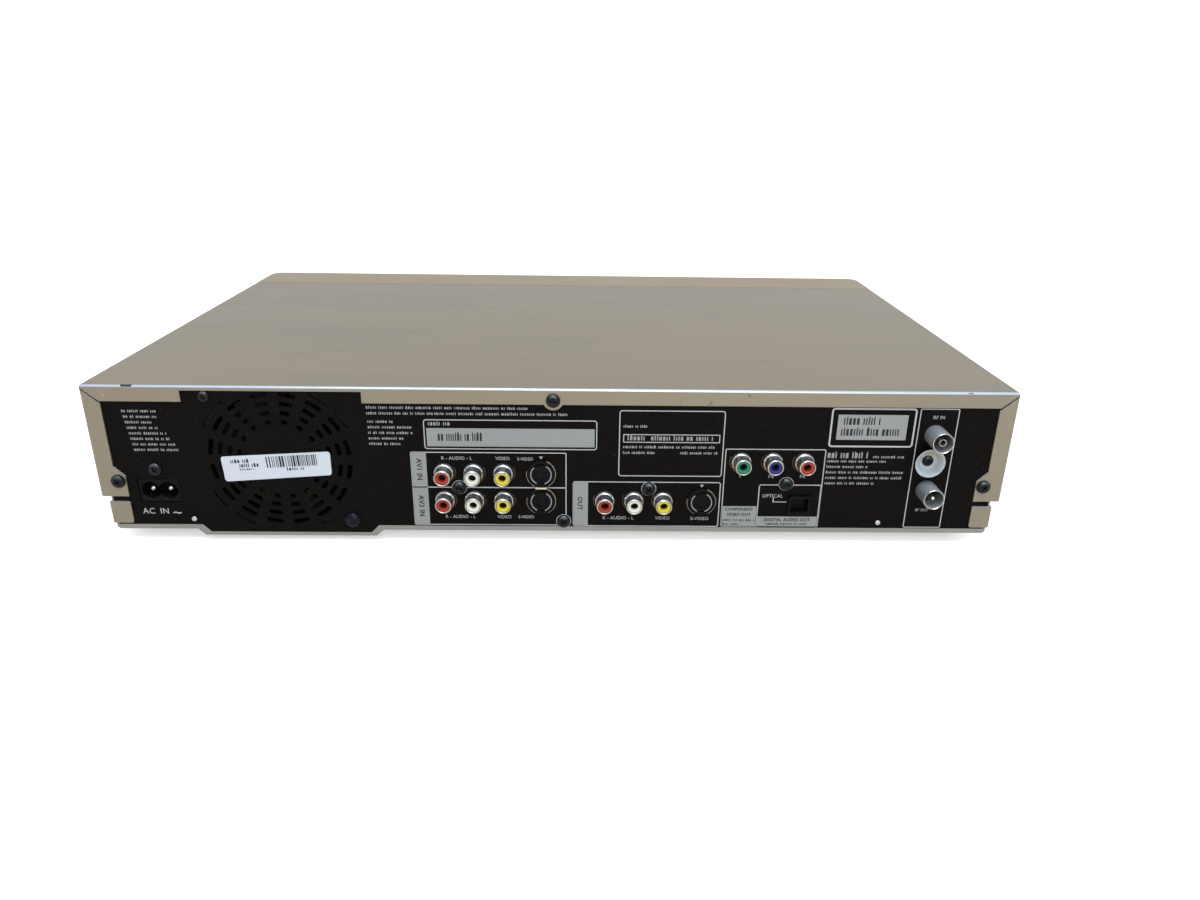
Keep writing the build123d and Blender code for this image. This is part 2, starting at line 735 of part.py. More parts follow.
def jack_blocks():
    """The black bodies behind the panel that carry the sockets."""
    back = PANEL_IN - BLOCK_DEPTH
    low = PANEL_Z + 4.6
    blocks = []
    spans = [
        (SVIDEO_X - BLOCK_EDGE, AV_X + PHONO_PITCH + BLOCK_EDGE, ROW_1_Z + BLOCK_EDGE),
        (SVIDEO_OUT_X - BLOCK_EDGE, OUT_X + PHONO_PITCH + BLOCK_EDGE, ROW_2_Z + BLOCK_EDGE + 4),
    ]
    for x0, x1, top in spans:
        body = block(x0, x1, back, PANEL_IN, low, top)
        for x, z in svideo_places():
            if x0 < x < x1:
                body += rod_y(x, z, PANEL_IN - 0.2, PANEL_Y + SVIDEO_PROUD - 0.6, SVIDEO_BOSS_R)
                ring = rod_y(x, z, PANEL_IN - 1, REAR_Y + SVIDEO_PROUD, SVIDEO_R + SVIDEO_WALL + RUN)
                body -= ring - rod_y(x, z, PANEL_IN - 2, PANEL_IN + 0.5, SVIDEO_R - RUN)
        for x, z in panel_screw_places():
            body -= rod_y(x, z, PANEL_IN - SHANK_L, PANEL_IN + 1, SHANK_R + 0.1)
        blocks.append(body)
    x0 = COMPONENT_X - COMPONENT_PITCH - BLOCK_EDGE
    x1 = COMPONENT_X + COMPONENT_PITCH + BLOCK_EDGE
    above = OPTICAL_Z + OPTICAL_H / 2 + 0.5
    component = block(x0, x1, back, PANEL_IN, above, COMPONENT_Z + BLOCK_EDGE)
    for x, z in panel_screw_places():
        component -= rod_y(x, z, PANEL_IN - SHANK_L, PANEL_IN + 1, SHANK_R + 0.1)
    blocks.append(component)
    blocks.append(block(OPTICAL_X + OPTICAL_W / 2 + 0.5, x1, back, PANEL_IN, low, above))
    half = FRONT_JACK_PITCH + BLOCK_EDGE
    middle_z = FLAP_Z0 + FLAP_H / 2
    tub_back = FRONT_Y + TUB_DEPTH
    blocks.append(block(FLAP_X - half, FLAP_X + half, tub_back, tub_back + BLOCK_DEPTH / 2,
                        middle_z - BLOCK_EDGE, middle_z + BLOCK_EDGE))
    return blocks


def svideo_shields():
    """The plated rings of the S-video sockets."""
    ring = revolved([
        (SVIDEO_R, -PANEL_SHEET - 1.0), (SVIDEO_R + SVIDEO_WALL, -PANEL_SHEET - 1.0),
        (SVIDEO_R + SVIDEO_WALL, SVIDEO_PROUD), (SVIDEO_R, SVIDEO_PROUD),
    ])
    return [out_of_panel(x, z, ring) for x, z in svideo_places()]


def ac_inlet():
    """The two-pin mains inlet: a black body whose mouth is a figure of eight."""
    low = INLET_Z - INLET_H / 2
    high = INLET_Z + INLET_H / 2
    left = INLET_X - INLET_W / 2
    right = INLET_X + INLET_W / 2
    body = block(left, right, PANEL_IN - INLET_BODY, PANEL_Y, low, high)
    body += block(left - 1.5, right + 1.5, PANEL_IN - 2, PANEL_IN, low - 1.5, high + 1.5)
    mouth = PANEL_Y - INLET_DEPTH
    for side in (-1, 1):
        body -= rod_y(INLET_X + side * INLET_LOBE_X, INLET_Z, mouth, PANEL_Y + 1, INLET_LOBE_R)
    waist = INLET_LOBE_R * 0.62
    body -= block(INLET_X - INLET_LOBE_X, INLET_X + INLET_LOBE_X, mouth, PANEL_Y + 1,
                  INLET_Z - waist, INLET_Z + waist)
    for side in (-1, 1):
        x = INLET_X + side * INLET_LOBE_X
        body -= rod_y(x, INLET_Z, mouth - INLET_ROOT_L, mouth + 1, INLET_ROOT_R)
    return body


def ac_pins():
    """The inlet's two pins."""
    pins = []
    for side in (-1, 1):
        x = INLET_X + side * INLET_LOBE_X
        base = PANEL_Y - INLET_DEPTH
        pin = rod_y(x, INLET_Z, base, base + INLET_PIN_L, INLET_PIN_R)
        pin = fillet(pin.edges().group_by(Axis.Y)[-1], 0.8)
        pins.append(pin + rod_y(x, INLET_Z, base - INLET_ROOT_L, base, INLET_ROOT_R))
    return pins


def optical_socket():
    """A square optical socket, open towards the rear."""
    half_w = OPTICAL_W / 2
    half_h = OPTICAL_H / 2
    front = PANEL_Y + OPTICAL_PROUD
    body = block(OPTICAL_X - half_w, OPTICAL_X + half_w, PANEL_IN - OPTICAL_BODY, front,
                 OPTICAL_Z - half_h, OPTICAL_Z + half_h)
    body = chamfer(body.edges().filter_by(Axis.Y), 0.8)
    body += block(OPTICAL_X - half_w - 0.4, OPTICAL_X + half_w + 0.4, PANEL_IN - 2, PANEL_IN,
                  OPTICAL_Z - half_h - 0.4, OPTICAL_Z + half_h + 0.4)
    inner_w = half_w - OPTICAL_WALL
    inner_h = half_h - OPTICAL_WALL
    body -= block(OPTICAL_X - inner_w, OPTICAL_X + inner_w, PANEL_IN - OPTICAL_BODY + 2, front + 1,
                  OPTICAL_Z - inner_h, OPTICAL_Z + inner_h)
    y, z = shutter_axis()
    body -= rod_x(y, z, OPTICAL_X - half_w + 0.3, OPTICAL_X + half_w - 0.3, SHUTTER_PIN_R + RUN)
    return body


def shutter_axis():
    """The optical shutter's hinge line, in Y and Z."""
    return (PANEL_Y - SHUTTER_BACK, OPTICAL_Z + OPTICAL_H / 2 - OPTICAL_WALL - 0.8)


def optical_shutter():
    """The sprung flap that closes the optical socket."""
    y, z = shutter_axis()
    half = OPTICAL_W / 2 - OPTICAL_WALL - 0.25
    low = OPTICAL_Z - OPTICAL_H / 2 + OPTICAL_WALL + 0.3
    plate = block(OPTICAL_X - half, OPTICAL_X + half, y - SHUTTER_T / 2, y + SHUTTER_T / 2, low, z)
    pin_half = OPTICAL_W / 2 - 0.4
    return plate + rod_x(y, z, OPTICAL_X - pin_half, OPTICAL_X + pin_half, SHUTTER_PIN_R)


def tuner_can():
    """The tinned box behind the aerial sockets."""
    can = block(AERIAL_X - TUNER_W / 2, AERIAL_X + TUNER_W / 2, PANEL_IN - TUNER_DEPTH, PANEL_IN,
                TUNER_Z0, TUNER_Z1)
    can = fillet(can.edges().filter_by(Axis.Z), 1.0)
    inner = TUNER_W / 2 - SHEET
    can -= block(AERIAL_X - inner, AERIAL_X + inner, PANEL_IN - TUNER_DEPTH + SHEET, PANEL_IN - SHEET,
                 TUNER_Z0 - 1, TUNER_Z1 - SHEET)
    can -= rod_y(CUP_X, CUP_Z, PANEL_IN - SHANK_L, PANEL_IN + 1, SHANK_R + 0.1)
    front = PANEL_IN - TUNER_DEPTH
    can += block(AERIAL_X - 3, AERIAL_X + 3, front, front + SHEET, BASE_TOP, TUNER_Z0 + 1)
    for x in (AERIAL_X - TUNER_W / 2, AERIAL_X + TUNER_W / 2 - SHEET):
        can += block(x, x + SHEET, PANEL_IN - 15, PANEL_IN - 9, BASE_TOP, TUNER_Z0 + 1)
    return can


def aerial_sockets():
    """Two coaxial aerial sockets: a shell with an insulator, and a sleeve or a pin in it."""
    result = []
    bore = AERIAL_R - AERIAL_WALL
    for x, z, has_pin in aerial_places():
        shell = revolved([
            (0, -PANEL_SHEET), (AERIAL_ROOT_R, -PANEL_SHEET), (AERIAL_ROOT_R, AERIAL_ROOT_L),
            (AERIAL_R, AERIAL_ROOT_L), (AERIAL_R, AERIAL_L - 0.2), (AERIAL_R - 0.2, AERIAL_L),
            (bore, AERIAL_L), (bore, 0.5), (0, 0.5),
        ])
        if has_pin:
            centre = Cylinder(1.15, 8.0, align=(Align.CENTER, Align.CENTER, Align.MIN))
            centre = fillet(centre.edges().group_by(Axis.Z)[-1], 0.9)
        else:
            centre = revolved([(1.2, 0), (1.9, 0), (1.9, SOCKET_REACH - 1), (1.2, SOCKET_REACH - 1)])
        result.append(out_of_panel(x, z, shell + Pos(0, 0, 0.4) * centre))
    return result


# Fan

def fan_frame():
    """A square fan frame with a duct, corner fixings and a strutted bearing boss."""
    half = FAN_SIZE / 2
    y0 = PANEL_IN - FAN_DEPTH
    frame = block(FAN_X - half, FAN_X + half, y0, PANEL_IN, FAN_Z - half, FAN_Z + half)
    frame = fillet(frame.edges().filter_by(Axis.Y), 3.0)
    frame -= rod_y(FAN_X, FAN_Z, y0 - 1, PANEL_IN + 1, DUCT_R)
    strut = Pos(0, 0, DUCT_R / 2) * Box(4, STRUT_T, DUCT_R + 2)
    for angle in (45, 135, 225, 315):
        frame += Pos(FAN_X, y0 + STRUT_T / 2, FAN_Z) * Rot(0, angle, 0) * strut
    frame += rod_y(FAN_X, FAN_Z, y0, y0 + STRUT_T, HUB_R - 2)
    frame += rod_y(FAN_X, FAN_Z, y0, PANEL_IN - 4, 3.0)
    for x in (-1, 1):
        for z in (-1, 1):
            frame -= rod_y(FAN_X + x * FAN_PITCH / 2, FAN_Z + z * FAN_PITCH / 2, y0 - 1, PANEL_IN + 1,
                           SHANK_R + 0.3)
    return frame


def fan_rotor():
    """The fan's hub and blades, running on the frame's boss."""
    y0 = PANEL_IN - FAN_DEPTH + STRUT_T + 0.6
    y1 = PANEL_IN - 1.2
    rotor = rod_y(FAN_X, FAN_Z, y0, y1, HUB_R)
    blade_len = DUCT_R - 0.9 - HUB_R + 2
    depth = (y1 - y0) / math.cos(math.radians(BLADE_TILT)) * 0.86
    for i in range(BLADE_COUNT):
        blade = Rot(0, 0, BLADE_TILT) * Box(BLADE_T, depth, blade_len)
        blade = Pos(0, 0, HUB_R - 2 + blade_len / 2) * blade
        rotor += Pos(FAN_X, (y0 + y1) / 2, FAN_Z) * Rot(0, i * 360.0 / BLADE_COUNT, 0) * blade
    rotor &= rod_y(FAN_X, FAN_Z, y0, y1, DUCT_R - 0.8)
    rotor -= rod_y(FAN_X, FAN_Z, y0 - 1, PANEL_IN - 4 + 0.5, 3.0 + RUN)
    return rotor


# Front

def front_shell():
    """The hollow front moulding with rounded plan corners, before its cut-outs."""
    y1 = SEAM_Y - FRONT_GAP
    outer = block(-HALF_W, HALF_W, FRONT_Y, y1, FRONT_Z0, HEIGHT)
    outer = fillet(outer.edges().filter_by(Axis.Z).group_by(Axis.Y)[0], PLAN_R)
    outer = fillet(outer.edges().group_by(Axis.Z)[-1].filter_by(lambda e: e.center().Y < y1 - 0.1), 1.0)
    inner = block(-HALF_W + WALL, HALF_W - WALL, FRONT_Y + WALL, y1 + 1, FRONT_Z0 + WALL, HEIGHT - WALL)
    inner = fillet(inner.edges().filter_by(Axis.Z).group_by(Axis.Y)[0], PLAN_R - WALL)
    return outer - inner


def front_panel():
    """The front moulding with its openings and the flap's hinge holes."""
    shell = front_shell()
    y0 = FRONT_Y - 1
    y1 = FRONT_Y + WALL + 1
    half = FASCIA_W / 2 + 0.5
    tall = FASCIA_H / 2 + 0.5
    shell -= block(DRIVE_X - half, DRIVE_X + half, y0, y1, FASCIA_Z - tall, FASCIA_Z + tall)
    half = DISPLAY_W / 2
    tall = DISPLAY_H / 2
    shell -= block(DISPLAY_X - half, DISPLAY_X + half, y0, FRONT_Y + DISPLAY_T, FASCIA_Z - tall,
                   FASCIA_Z + tall)
    shell -= block(DISPLAY_X - half + 3, DISPLAY_X + half - 3, y0, y1, FASCIA_Z - tall + 2,
                   FASCIA_Z + tall - 2)
    x0 = FLAP_X - FLAP_W / 2
    x1 = FLAP_X + FLAP_W / 2
    shell -= block(x0, x1, y0, y1, FLAP_Z0, FLAP_Z0 + FLAP_H)
    y, z = flap_axis()
    for x, side in ((x0, -1), (x1, 1)):
        far = x + side * (FLAP_PIN_L + GAP)
        shell -= rod_x(y, z, min(x, far) - 0.01, max(x, far) + 0.01, FLAP_PIN_R + RUN)
    for x, z, cutter, _, _ in key_list():
        shell -= cutter
    for step in (-1.5, -0.5, 0.5, 1.5):
        x = step * TONGUE_PITCH
        shell += block(x - TONGUE_W / 2, x + TONGUE_W / 2, FRONT_Y + WALL, SEAM_Y + TONGUE, BASE_TOP,
                       FRONT_Z0 + WALL)
    for x, z in board_post_places():
        shell += rod_y(x, z, FRONT_Y + WALL - 0.1, FRONT_BOARD_Y, 2.2)
    groove = block(-HALF_W, DRIVE_X + FASCIA_W / 2, y0, FRONT_Y + 0.6, GROOVE_Z - GROOVE_W / 2,
                   GROOVE_Z + GROOVE_W / 2)
    return shell - groove


def front_tub():
    """The compartment behind the flap, a five-sided box with holes for its sockets."""
    back = FRONT_Y + TUB_DEPTH
    x0 = FLAP_X - FLAP_W / 2
    x1 = FLAP_X + FLAP_W / 2
    z1 = FLAP_Z0 + FLAP_H
    tub = block(x0 - TUB_T, x1 + TUB_T, FRONT_Y + WALL, back, FLAP_Z0 - TUB_T, z1 + TUB_T)
    tub -= block(x0, x1, FRONT_Y, back - TUB_T, FLAP_Z0, z1)
    for x, z, _ in front_phono_places():
        tub -= rod_y(x, z, back - TUB_T - 1, back + 1, PHONO_COLLAR_R + 0.1)
    return tub


def board_post_places():
    """Pillars on the front moulding that carry its circuit boards, in X and Z."""
    high = HEIGHT - 12.0
    return [(DISPLAY_X - DISPLAY_W / 2 + 5, high), (DISPLAY_X + DISPLAY_W / 2 + 5, high),
            (KEY_X + 2 * KEY_PITCH + 6, high), (POWER_X - 10, high), (POWER_X + 10, high)]


def flap_axis():
    """The flap's hinge line, in Y and Z: the centre of its rounded lower edge."""
    return (FRONT_Y + FLAP_T / 2 + 0.05, FLAP_Z0 + GAP + FLAP_T / 2)


def front_flap():
    """The drop-down flap, with a full-round lower edge and a pin at each end."""
    y, z = flap_axis()
    x0 = FLAP_X - FLAP_W / 2 + GAP
    x1 = FLAP_X + FLAP_W / 2 - GAP
    flap = block(x0, x1, y - FLAP_T / 2, y + FLAP_T / 2, z, FLAP_Z0 + FLAP_H - GAP)
    flap += rod_x(y, z, x0, x1, FLAP_T / 2)
    return flap + rod_x(y, z, x0 - FLAP_PIN_L, x1 + FLAP_PIN_L, FLAP_PIN_R)


def display_window():
    """The smoked display window, set flush in its rebate."""
    half = DISPLAY_W / 2 - 0.1
    tall = DISPLAY_H / 2 - 0.1
    return block(DISPLAY_X - half, DISPLAY_X + half, FRONT_Y + 0.1, FRONT_Y + DISPLAY_T,
                 FASCIA_Z - tall, FASCIA_Z + tall)


def round_key(x, z, r):
    """A round button's hole cutter and its body."""
    cutter = rod_y(x, z, FRONT_Y - 1, FRONT_Y + WALL + 1, r + GAP)
    cap = rod_y(x, z, FRONT_Y - KEY_PROUD, FRONT_Y + WALL + KEY_TRAVEL + 0.3, r)
    cap = fillet(cap.edges().group_by(Axis.Y)[0], 0.6)
    lip = rod_y(x, z, FRONT_Y + WALL + 0.1, FRONT_Y + WALL + 0.1 + KEY_LIP_T, r + KEY_LIP)
    return cutter, cap + lip


def open_key():
    """The oblong open button's hole cutter and its body."""
    x0 = OPEN_X - OPEN_W / 2
    z0 = OPEN_Z - OPEN_H / 2
    x1 = x0 + OPEN_W
    z1 = z0 + OPEN_H
    cutter = block(x0 - GAP, x1 + GAP, FRONT_Y - 1, FRONT_Y + WALL + 1, z0 - GAP, z1 + GAP)
    cap = block(x0, x1, FRONT_Y - KEY_PROUD, FRONT_Y + WALL + KEY_TRAVEL + 0.3, z0, z1)
    cap = fillet(cap.edges().group_by(Axis.Y)[0], 0.6)
    lip = block(x0 - KEY_LIP, x1 + KEY_LIP, FRONT_Y + WALL + 0.1, FRONT_Y + WALL + 0.1 + KEY_LIP_T,
                z0 - KEY_LIP, z1 + KEY_LIP)
    return cutter, cap + lip


def key_list():
    """Every button: X, Z, hole cutter, body and node name."""
    keys = [(POWER_X, KEY_Z, *round_key(POWER_X, KEY_Z, POWER_R), "button_power"),
            (OPEN_X, OPEN_Z, *open_key(), "button_open")]
    for i, name in enumerate(("button_stop", "button_play", "button_record")):
        x = KEY_X + i * KEY_PITCH
        keys.append((x, KEY_Z, *round_key(x, KEY_Z, KEY_R), name))
    return keys


def front_boards():
    """The two circuit boards behind the front, for keys and display and for the power key."""
    z0 = GROOVE_Z
    main = block(DISPLAY_X - DISPLAY_W / 2, KEY_X + 2 * KEY_PITCH + 12, FRONT_BOARD_Y,
                 FRONT_BOARD_Y + BOARD_T, z0, HEIGHT - 8)
    small = block(POWER_X - 15, POWER_X + 14, FRONT_BOARD_Y, FRONT_BOARD_Y + BOARD_T,
                  OPEN_Z - 8, HEIGHT - 8)
    boards = []
    for body in (main, small):
        for x, z, _, _, _ in key_list():
            low = FRONT_Y + WALL + KEY_TRAVEL + KEY_LIP_T + 0.8
            if body.bounding_box().min.X < x < body.bounding_box().max.X:
                body += rod_y(x, z, low, FRONT_BOARD_Y + 0.2, 2.0)
        boards.append(body)
    return boards + [display_tube()]


def display_tube():
    """The glass display tube between its board and the window."""
    half = DISPLAY_W / 2 - 12
    tall = DISPLAY_H / 2 + 1
    tube = block(DISPLAY_X - half, DISPLAY_X + half, FRONT_BOARD_Y - 8, FRONT_BOARD_Y,
                 FASCIA_Z - tall, FASCIA_Z + tall)
    return fillet(tube.edges().filter_by(Axis.Y), 1.0)


# Disc drive

def drive_frame():
    """The drive's moulded frame: two side rails, a deck round the traverse, and legs."""
    x0 = DRIVE_X - DRIVE_HALF
    x1 = DRIVE_X + DRIVE_HALF
    deck = block(x0, x1, DRIVE_Y0, DRIVE_Y1, DECK_Z, DECK_Z + DECK_T)
    hole_half = TRAVERSE_HALF + 6
    deck -= block(DRIVE_X - hole_half, DRIVE_X + hole_half, TRAVERSE_Y0 - 4, TRAVERSE_PIVOT_Y + 6,
                  DECK_Z - 1, DECK_Z + DECK_T + 1)
    lip_z = TRAY_Z + TRAY_T + GAP
    for side in (-1, 1):
        near = DRIVE_X + side * RAIL_IN
        far = DRIVE_X + side * DRIVE_HALF
        deck += block(min(near, far), max(near, far), DRIVE_Y0, DRIVE_Y1, DECK_Z, RAIL_TOP)
        inner = near - side * LEDGE
        ledge = block(min(near, inner), max(near, inner), DRIVE_Y0, DRIVE_Y1, DECK_Z + 8.5, TRAY_Z - 0.2)
        lip = block(min(near, inner), max(near, inner), DRIVE_Y0, DRIVE_Y1, lip_z, lip_z + 1.6)
        deck += ledge + lip
        bearing_x = DRIVE_X + side * (TRAVERSE_HALF + 1)
        bearing_far = DRIVE_X + side * (TRAVERSE_HALF + 9)
        bearing = block(min(bearing_x, bearing_far), max(bearing_x, bearing_far), TRAVERSE_PIVOT_Y - 5,
                        TRAVERSE_PIVOT_Y + 7, DECK_Z - 5, DECK_Z + 3)
        deck += bearing
        for y in (DRIVE_Y0 + 24, DRIVE_Y1 - 12):
            deck += rod_z(DRIVE_X + side * (DRIVE_HALF - 6), y, BASE_TOP, DECK_Z + 1, 4.5)
    deck -= rod_x(TRAVERSE_PIVOT_Y, DECK_Z - 1, DRIVE_X - TRAVERSE_HALF - 6, DRIVE_X + TRAVERSE_HALF + 6,
                  TRAVERSE_PIN_R + RUN)
    gear_x = pinion_x()
    deck += rod_z(gear_x, GEAR_Y, DECK_Z + 1, TRAY_Z - 0.5, 1.5)
    deck -= rod_z(gear_x + BELT_SPAN, GEAR_Y, DECK_Z - 1, DECK_Z + DECK_T + 1, 2.0)
    return deck


def pinion_x():
    """The X of the tray pinion's axis: one pitch radius from the rack's pitch line."""
    return RACK_X + RACK_MODULE * PINION_TEETH / 2


def toothed_disc(teeth, z0, z1):
    """A spur gear at the origin with straight-sided teeth and generous backlash."""
    pitch_r = RACK_MODULE * teeth / 2
    root_r = pitch_r - 1.1 * RACK_MODULE
    tip_r = pitch_r + 0.8 * RACK_MODULE
    gear = rod_z(0, 0, z0, z1, root_r)
    tooth = prism_z([(root_r - 0.6, -0.85), (tip_r, -0.32), (tip_r, 0.32), (root_r - 0.6, 0.85)], z0, z1)
    for i in range(teeth):
        # A gap faces the rack at rest.
        gear += Rot(0, 0, 180 + (i + 0.5) * 360.0 / teeth) * tooth
    return gear


def tray_gear():
    """The pinion that drives the tray's rack, on one hub with the belt wheel."""
    z = DECK_Z + DECK_T
    wheel = rod_z(0, 0, z + 0.6, z + 1.6, WHEEL_R + RIM)
    wheel += rod_z(0, 0, z + 1.6, z + 3.6, WHEEL_R)
    wheel += rod_z(0, 0, z + 3.6, z + 4.6, WHEEL_R + RIM)
    wheel += toothed_disc(PINION_TEETH, z + 4.6, TRAY_Z - 0.5)
    wheel -= rod_z(0, 0, z - 1, TRAY_Z, 1.5 + RUN)
    return Pos(pinion_x(), GEAR_Y, 0) * wheel


def motor_pulley():
    """The loading motor's small pulley and its shaft."""
    z = DECK_Z + DECK_T
    pulley = rod_z(0, 0, z + 0.6, z + 1.6, PULLEY_R + RIM)
    pulley += rod_z(0, 0, z + 1.6, z + 3.6, PULLEY_R)
    pulley += rod_z(0, 0, z + 3.6, z + 4.6, PULLEY_R + RIM)
    pulley += rod_z(0, 0, DECK_Z - 6, z + 0.7, 1.0)
    return Pos(pinion_x() + BELT_SPAN, GEAR_Y, 0) * pulley


def hull_of_pulleys(extra, z0, z1):
    """A solid round both pulleys, a given distance out from their grooves."""
    big = WHEEL_R + extra
    small = PULLEY_R + extra
    lean = math.acos((big - small) / BELT_SPAN)
    cos_l = math.cos(lean)
    sin_l = math.sin(lean)
    web = prism_z([
        (big * cos_l, big * sin_l), (big * cos_l, -big * sin_l),
        (BELT_SPAN + small * cos_l, -small * sin_l), (BELT_SPAN + small * cos_l, small * sin_l),
    ], z0, z1)
    return web + rod_z(0, 0, z0, z1, big) + rod_z(BELT_SPAN, 0, z0, z1, small)


def drive_belt():
    """The rubber belt round the motor pulley and the belt wheel."""
    z = DECK_Z + DECK_T + 2.1
    belt = hull_of_pulleys(0.08 + BELT_T, z, z + BELT_T) - hull_of_pulleys(0.08, z - 1, z + BELT_T + 1)
    return Pos(pinion_x(), GEAR_Y, 0) * belt


def loading_motor():
    """The small motor hung under the deck."""
    x = pinion_x() + BELT_SPAN
    motor = rod_z(x, GEAR_Y, DECK_Z - MOTOR_H, DECK_Z, MOTOR_R)
    motor = fillet(motor.edges().group_by(Axis.Z)[0], 1.2)
    return motor - rod_z(x, GEAR_Y, DECK_Z - 7, DECK_Z + 1, 1.0 + RUN)


def disc_tray():
    """The tray: a disc recess, a slot open to the rear for the spindle and lens, and a rack."""
    y0 = FRONT_Y + FASCIA_T
    top = TRAY_Z + TRAY_T
    tray = block(DRIVE_X - TRAY_HALF, DRIVE_X + TRAY_HALF, y0, TRAY_REAR_Y, TRAY_Z, top)
    tray = fillet(tray.edges().filter_by(Axis.Z).group_by(Axis.Y)[-1], 4.0)
    tray -= rod_z(DRIVE_X, DISC_Y, top - 1.6, top + 1, DISC_R + 0.8)
    tray -= rod_z(DRIVE_X, DISC_Y, top - 2.8, top + 1, DISC_R * 2 / 3 + 0.6)
    tray -= rod_z(DRIVE_X, DISC_Y, TRAY_Z - 1, top + 1, SLOT_HALF)
    tray -= block(DRIVE_X - SLOT_HALF, DRIVE_X + SLOT_HALF, DISC_Y, TRAY_REAR_Y + 1, TRAY_Z - 1, top + 1)
    pitch = math.pi * RACK_MODULE
    rack_y0 = GEAR_Y - 2 * pitch
    low = FASCIA_Z - FASCIA_H / 2
    tray += block(RACK_X - 3.8, RACK_X - 1.1, rack_y0 - 1, TRAY_REAR_Y - 4, low, TRAY_Z + 0.5)
    count = int((TRAY_REAR_Y - 5 - rack_y0) / pitch)
    for i in range(count):
        y = rack_y0 + i * pitch
        tray += prism_z([(RACK_X - 1.3, y - 0.8), (RACK_X + 0.8, y - 0.32), (RACK_X + 0.8, y + 0.32),
                         (RACK_X - 1.3, y + 0.8)], low, TRAY_Z + 0.5)
    return tray


def tray_fascia():
    """The door on the tray's front edge."""
    half = FASCIA_W / 2
    door = block(DRIVE_X - half, DRIVE_X + half, FRONT_Y, FRONT_Y + FASCIA_T,
                 FASCIA_Z - FASCIA_H / 2, FASCIA_Z + FASCIA_H / 2)
    return fillet(door.edges().group_by(Axis.Y)[0], 0.6)


def clamp_bridge():
    """The steel bridge over the tray that carries the clamp puck."""
    y0 = DISC_Y - BRIDGE_HALF_Y
    y1 = DISC_Y + BRIDGE_HALF_Y
    bridge = block(DRIVE_X - DRIVE_HALF, DRIVE_X + DRIVE_HALF, y0, y1, BRIDGE_Z, BRIDGE_Z + BRIDGE_T)
    for side in (-1, 1):
        near = DRIVE_X + side * (RAIL_IN + 1)
        far = DRIVE_X + side * DRIVE_HALF
        bridge += block(min(near, far), max(near, far), y0, y1, RAIL_TOP, BRIDGE_Z)
    return bridge - rod_z(DRIVE_X, DISC_Y, BRIDGE_Z - 1, BRIDGE_Z + 3, PUCK_R - 5)


def clamp_puck():
    """The clamp puck, hung in the bridge's hole by its upper flange."""
    low = TABLE_Z + 1.3
    puck = rod_z(DRIVE_X, DISC_Y, low, BRIDGE_Z - 1, PUCK_R)
    puck += rod_z(DRIVE_X, DISC_Y, BRIDGE_Z - 1.1, BRIDGE_Z + BRIDGE_T + 1.2, PUCK_R - 6)
    puck += rod_z(DRIVE_X, DISC_Y, BRIDGE_Z + BRIDGE_T + 1.0, BRIDGE_Z + BRIDGE_T + 2.6, PUCK_R - 2.5)
    return puck - rod_z(DRIVE_X, DISC_Y, low - 1, low + 2.2, CONE_R + 0.6)


def traverse_frame():
    """The steel plate that carries the spindle, the rods and the pickup, on two rear pins."""
    low = DECK_Z - 2.0
    plate = block(DRIVE_X - TRAVERSE_HALF, DRIVE_X + TRAVERSE_HALF, TRAVERSE_Y0, TRAVERSE_PIVOT_Y,
                  low, low + 2)
    sled_y0 = DISC_Y + LENS_R0 - 8
    rod_y1 = sled_y0 + SLED_L + SLED_TRAVEL + 6
    plate -= block(DRIVE_X - 20, DRIVE_X + 20, sled_y0 - 1, rod_y1 - 2, low - 1, low + 3)
    for side in (-1, 1):
        ear = DRIVE_X + side * TRAVERSE_HALF
        middle = ear - side * 2.0
        plate += block(middle - 2, middle + 2, TRAVERSE_PIVOT_Y - 4, TRAVERSE_PIVOT_Y + 3,
                       low, DECK_Z + 2)
        tip = ear + side * 5.5
        plate += rod_x(TRAVERSE_PIVOT_Y, DECK_Z - 1, min(ear, tip), max(ear, tip), TRAVERSE_PIN_R)
    for x in (-ROD_X, ROD_X, SCREW_X):
        for y in rod_ends():
            plate += block(DRIVE_X + x - 3, DRIVE_X + x + 3, y - 2, y + 2, low + 1, ROD_Z + 3)
    for x in (-ROD_X, ROD_X):
        plate -= rod_y(DRIVE_X + x, ROD_Z, rod_ends()[0] - 3, rod_ends()[1] + 3, ROD_R)
    plate -= rod_y(DRIVE_X + SCREW_X, ROD_Z, rod_ends()[0] - 3, rod_ends()[1] + 3, SCREW_R + RUN)
    return plate


def rod_ends():
    """The two bearing places of the guide rods and the feed screw along Y."""
    start = DISC_Y + LENS_R0 - 8 - 4
    return (start, start + SLED_L + SLED_TRAVEL + 8)


def traverse_motors():
    """The flat spindle motor and the feed motor behind the screw."""
    low = DECK_Z
    spindle = rod_z(DRIVE_X, DISC_Y, low, low + 6, SPINDLE_MOTOR_R)
    spindle -= rod_z(DRIVE_X, DISC_Y, low + 0.5, low + 7, SPINDLE_R + RUN)
    y0 = rod_ends()[1] + 2
    feed = rod_y(DRIVE_X + SCREW_X, ROD_Z, y0, y0 + 14, 4.8)
    feed -= rod_y(DRIVE_X + SCREW_X, ROD_Z, y0 - 1, y0 + 6, SCREW_R + RUN)
    feed += block(DRIVE_X + SCREW_X - 4, DRIVE_X + SCREW_X + 4, y0 + 1, y0 + 13, low, ROD_Z - 3)
    return [spindle, feed]


def guide_rods():
    """The two steel rods that the pickup slides on."""
    y0, y1 = rod_ends()
    return [rod_y(DRIVE_X + x, ROD_Z, y0 - 2, y1 + 2, ROD_R) for x in (-ROD_X, ROD_X)]


def feed_screw():
    """The screw that moves the pickup."""
    y0, y1 = rod_ends()
    return rod_y(DRIVE_X + SCREW_X, ROD_Z, y0 - 2, y1 + 6, SCREW_R)


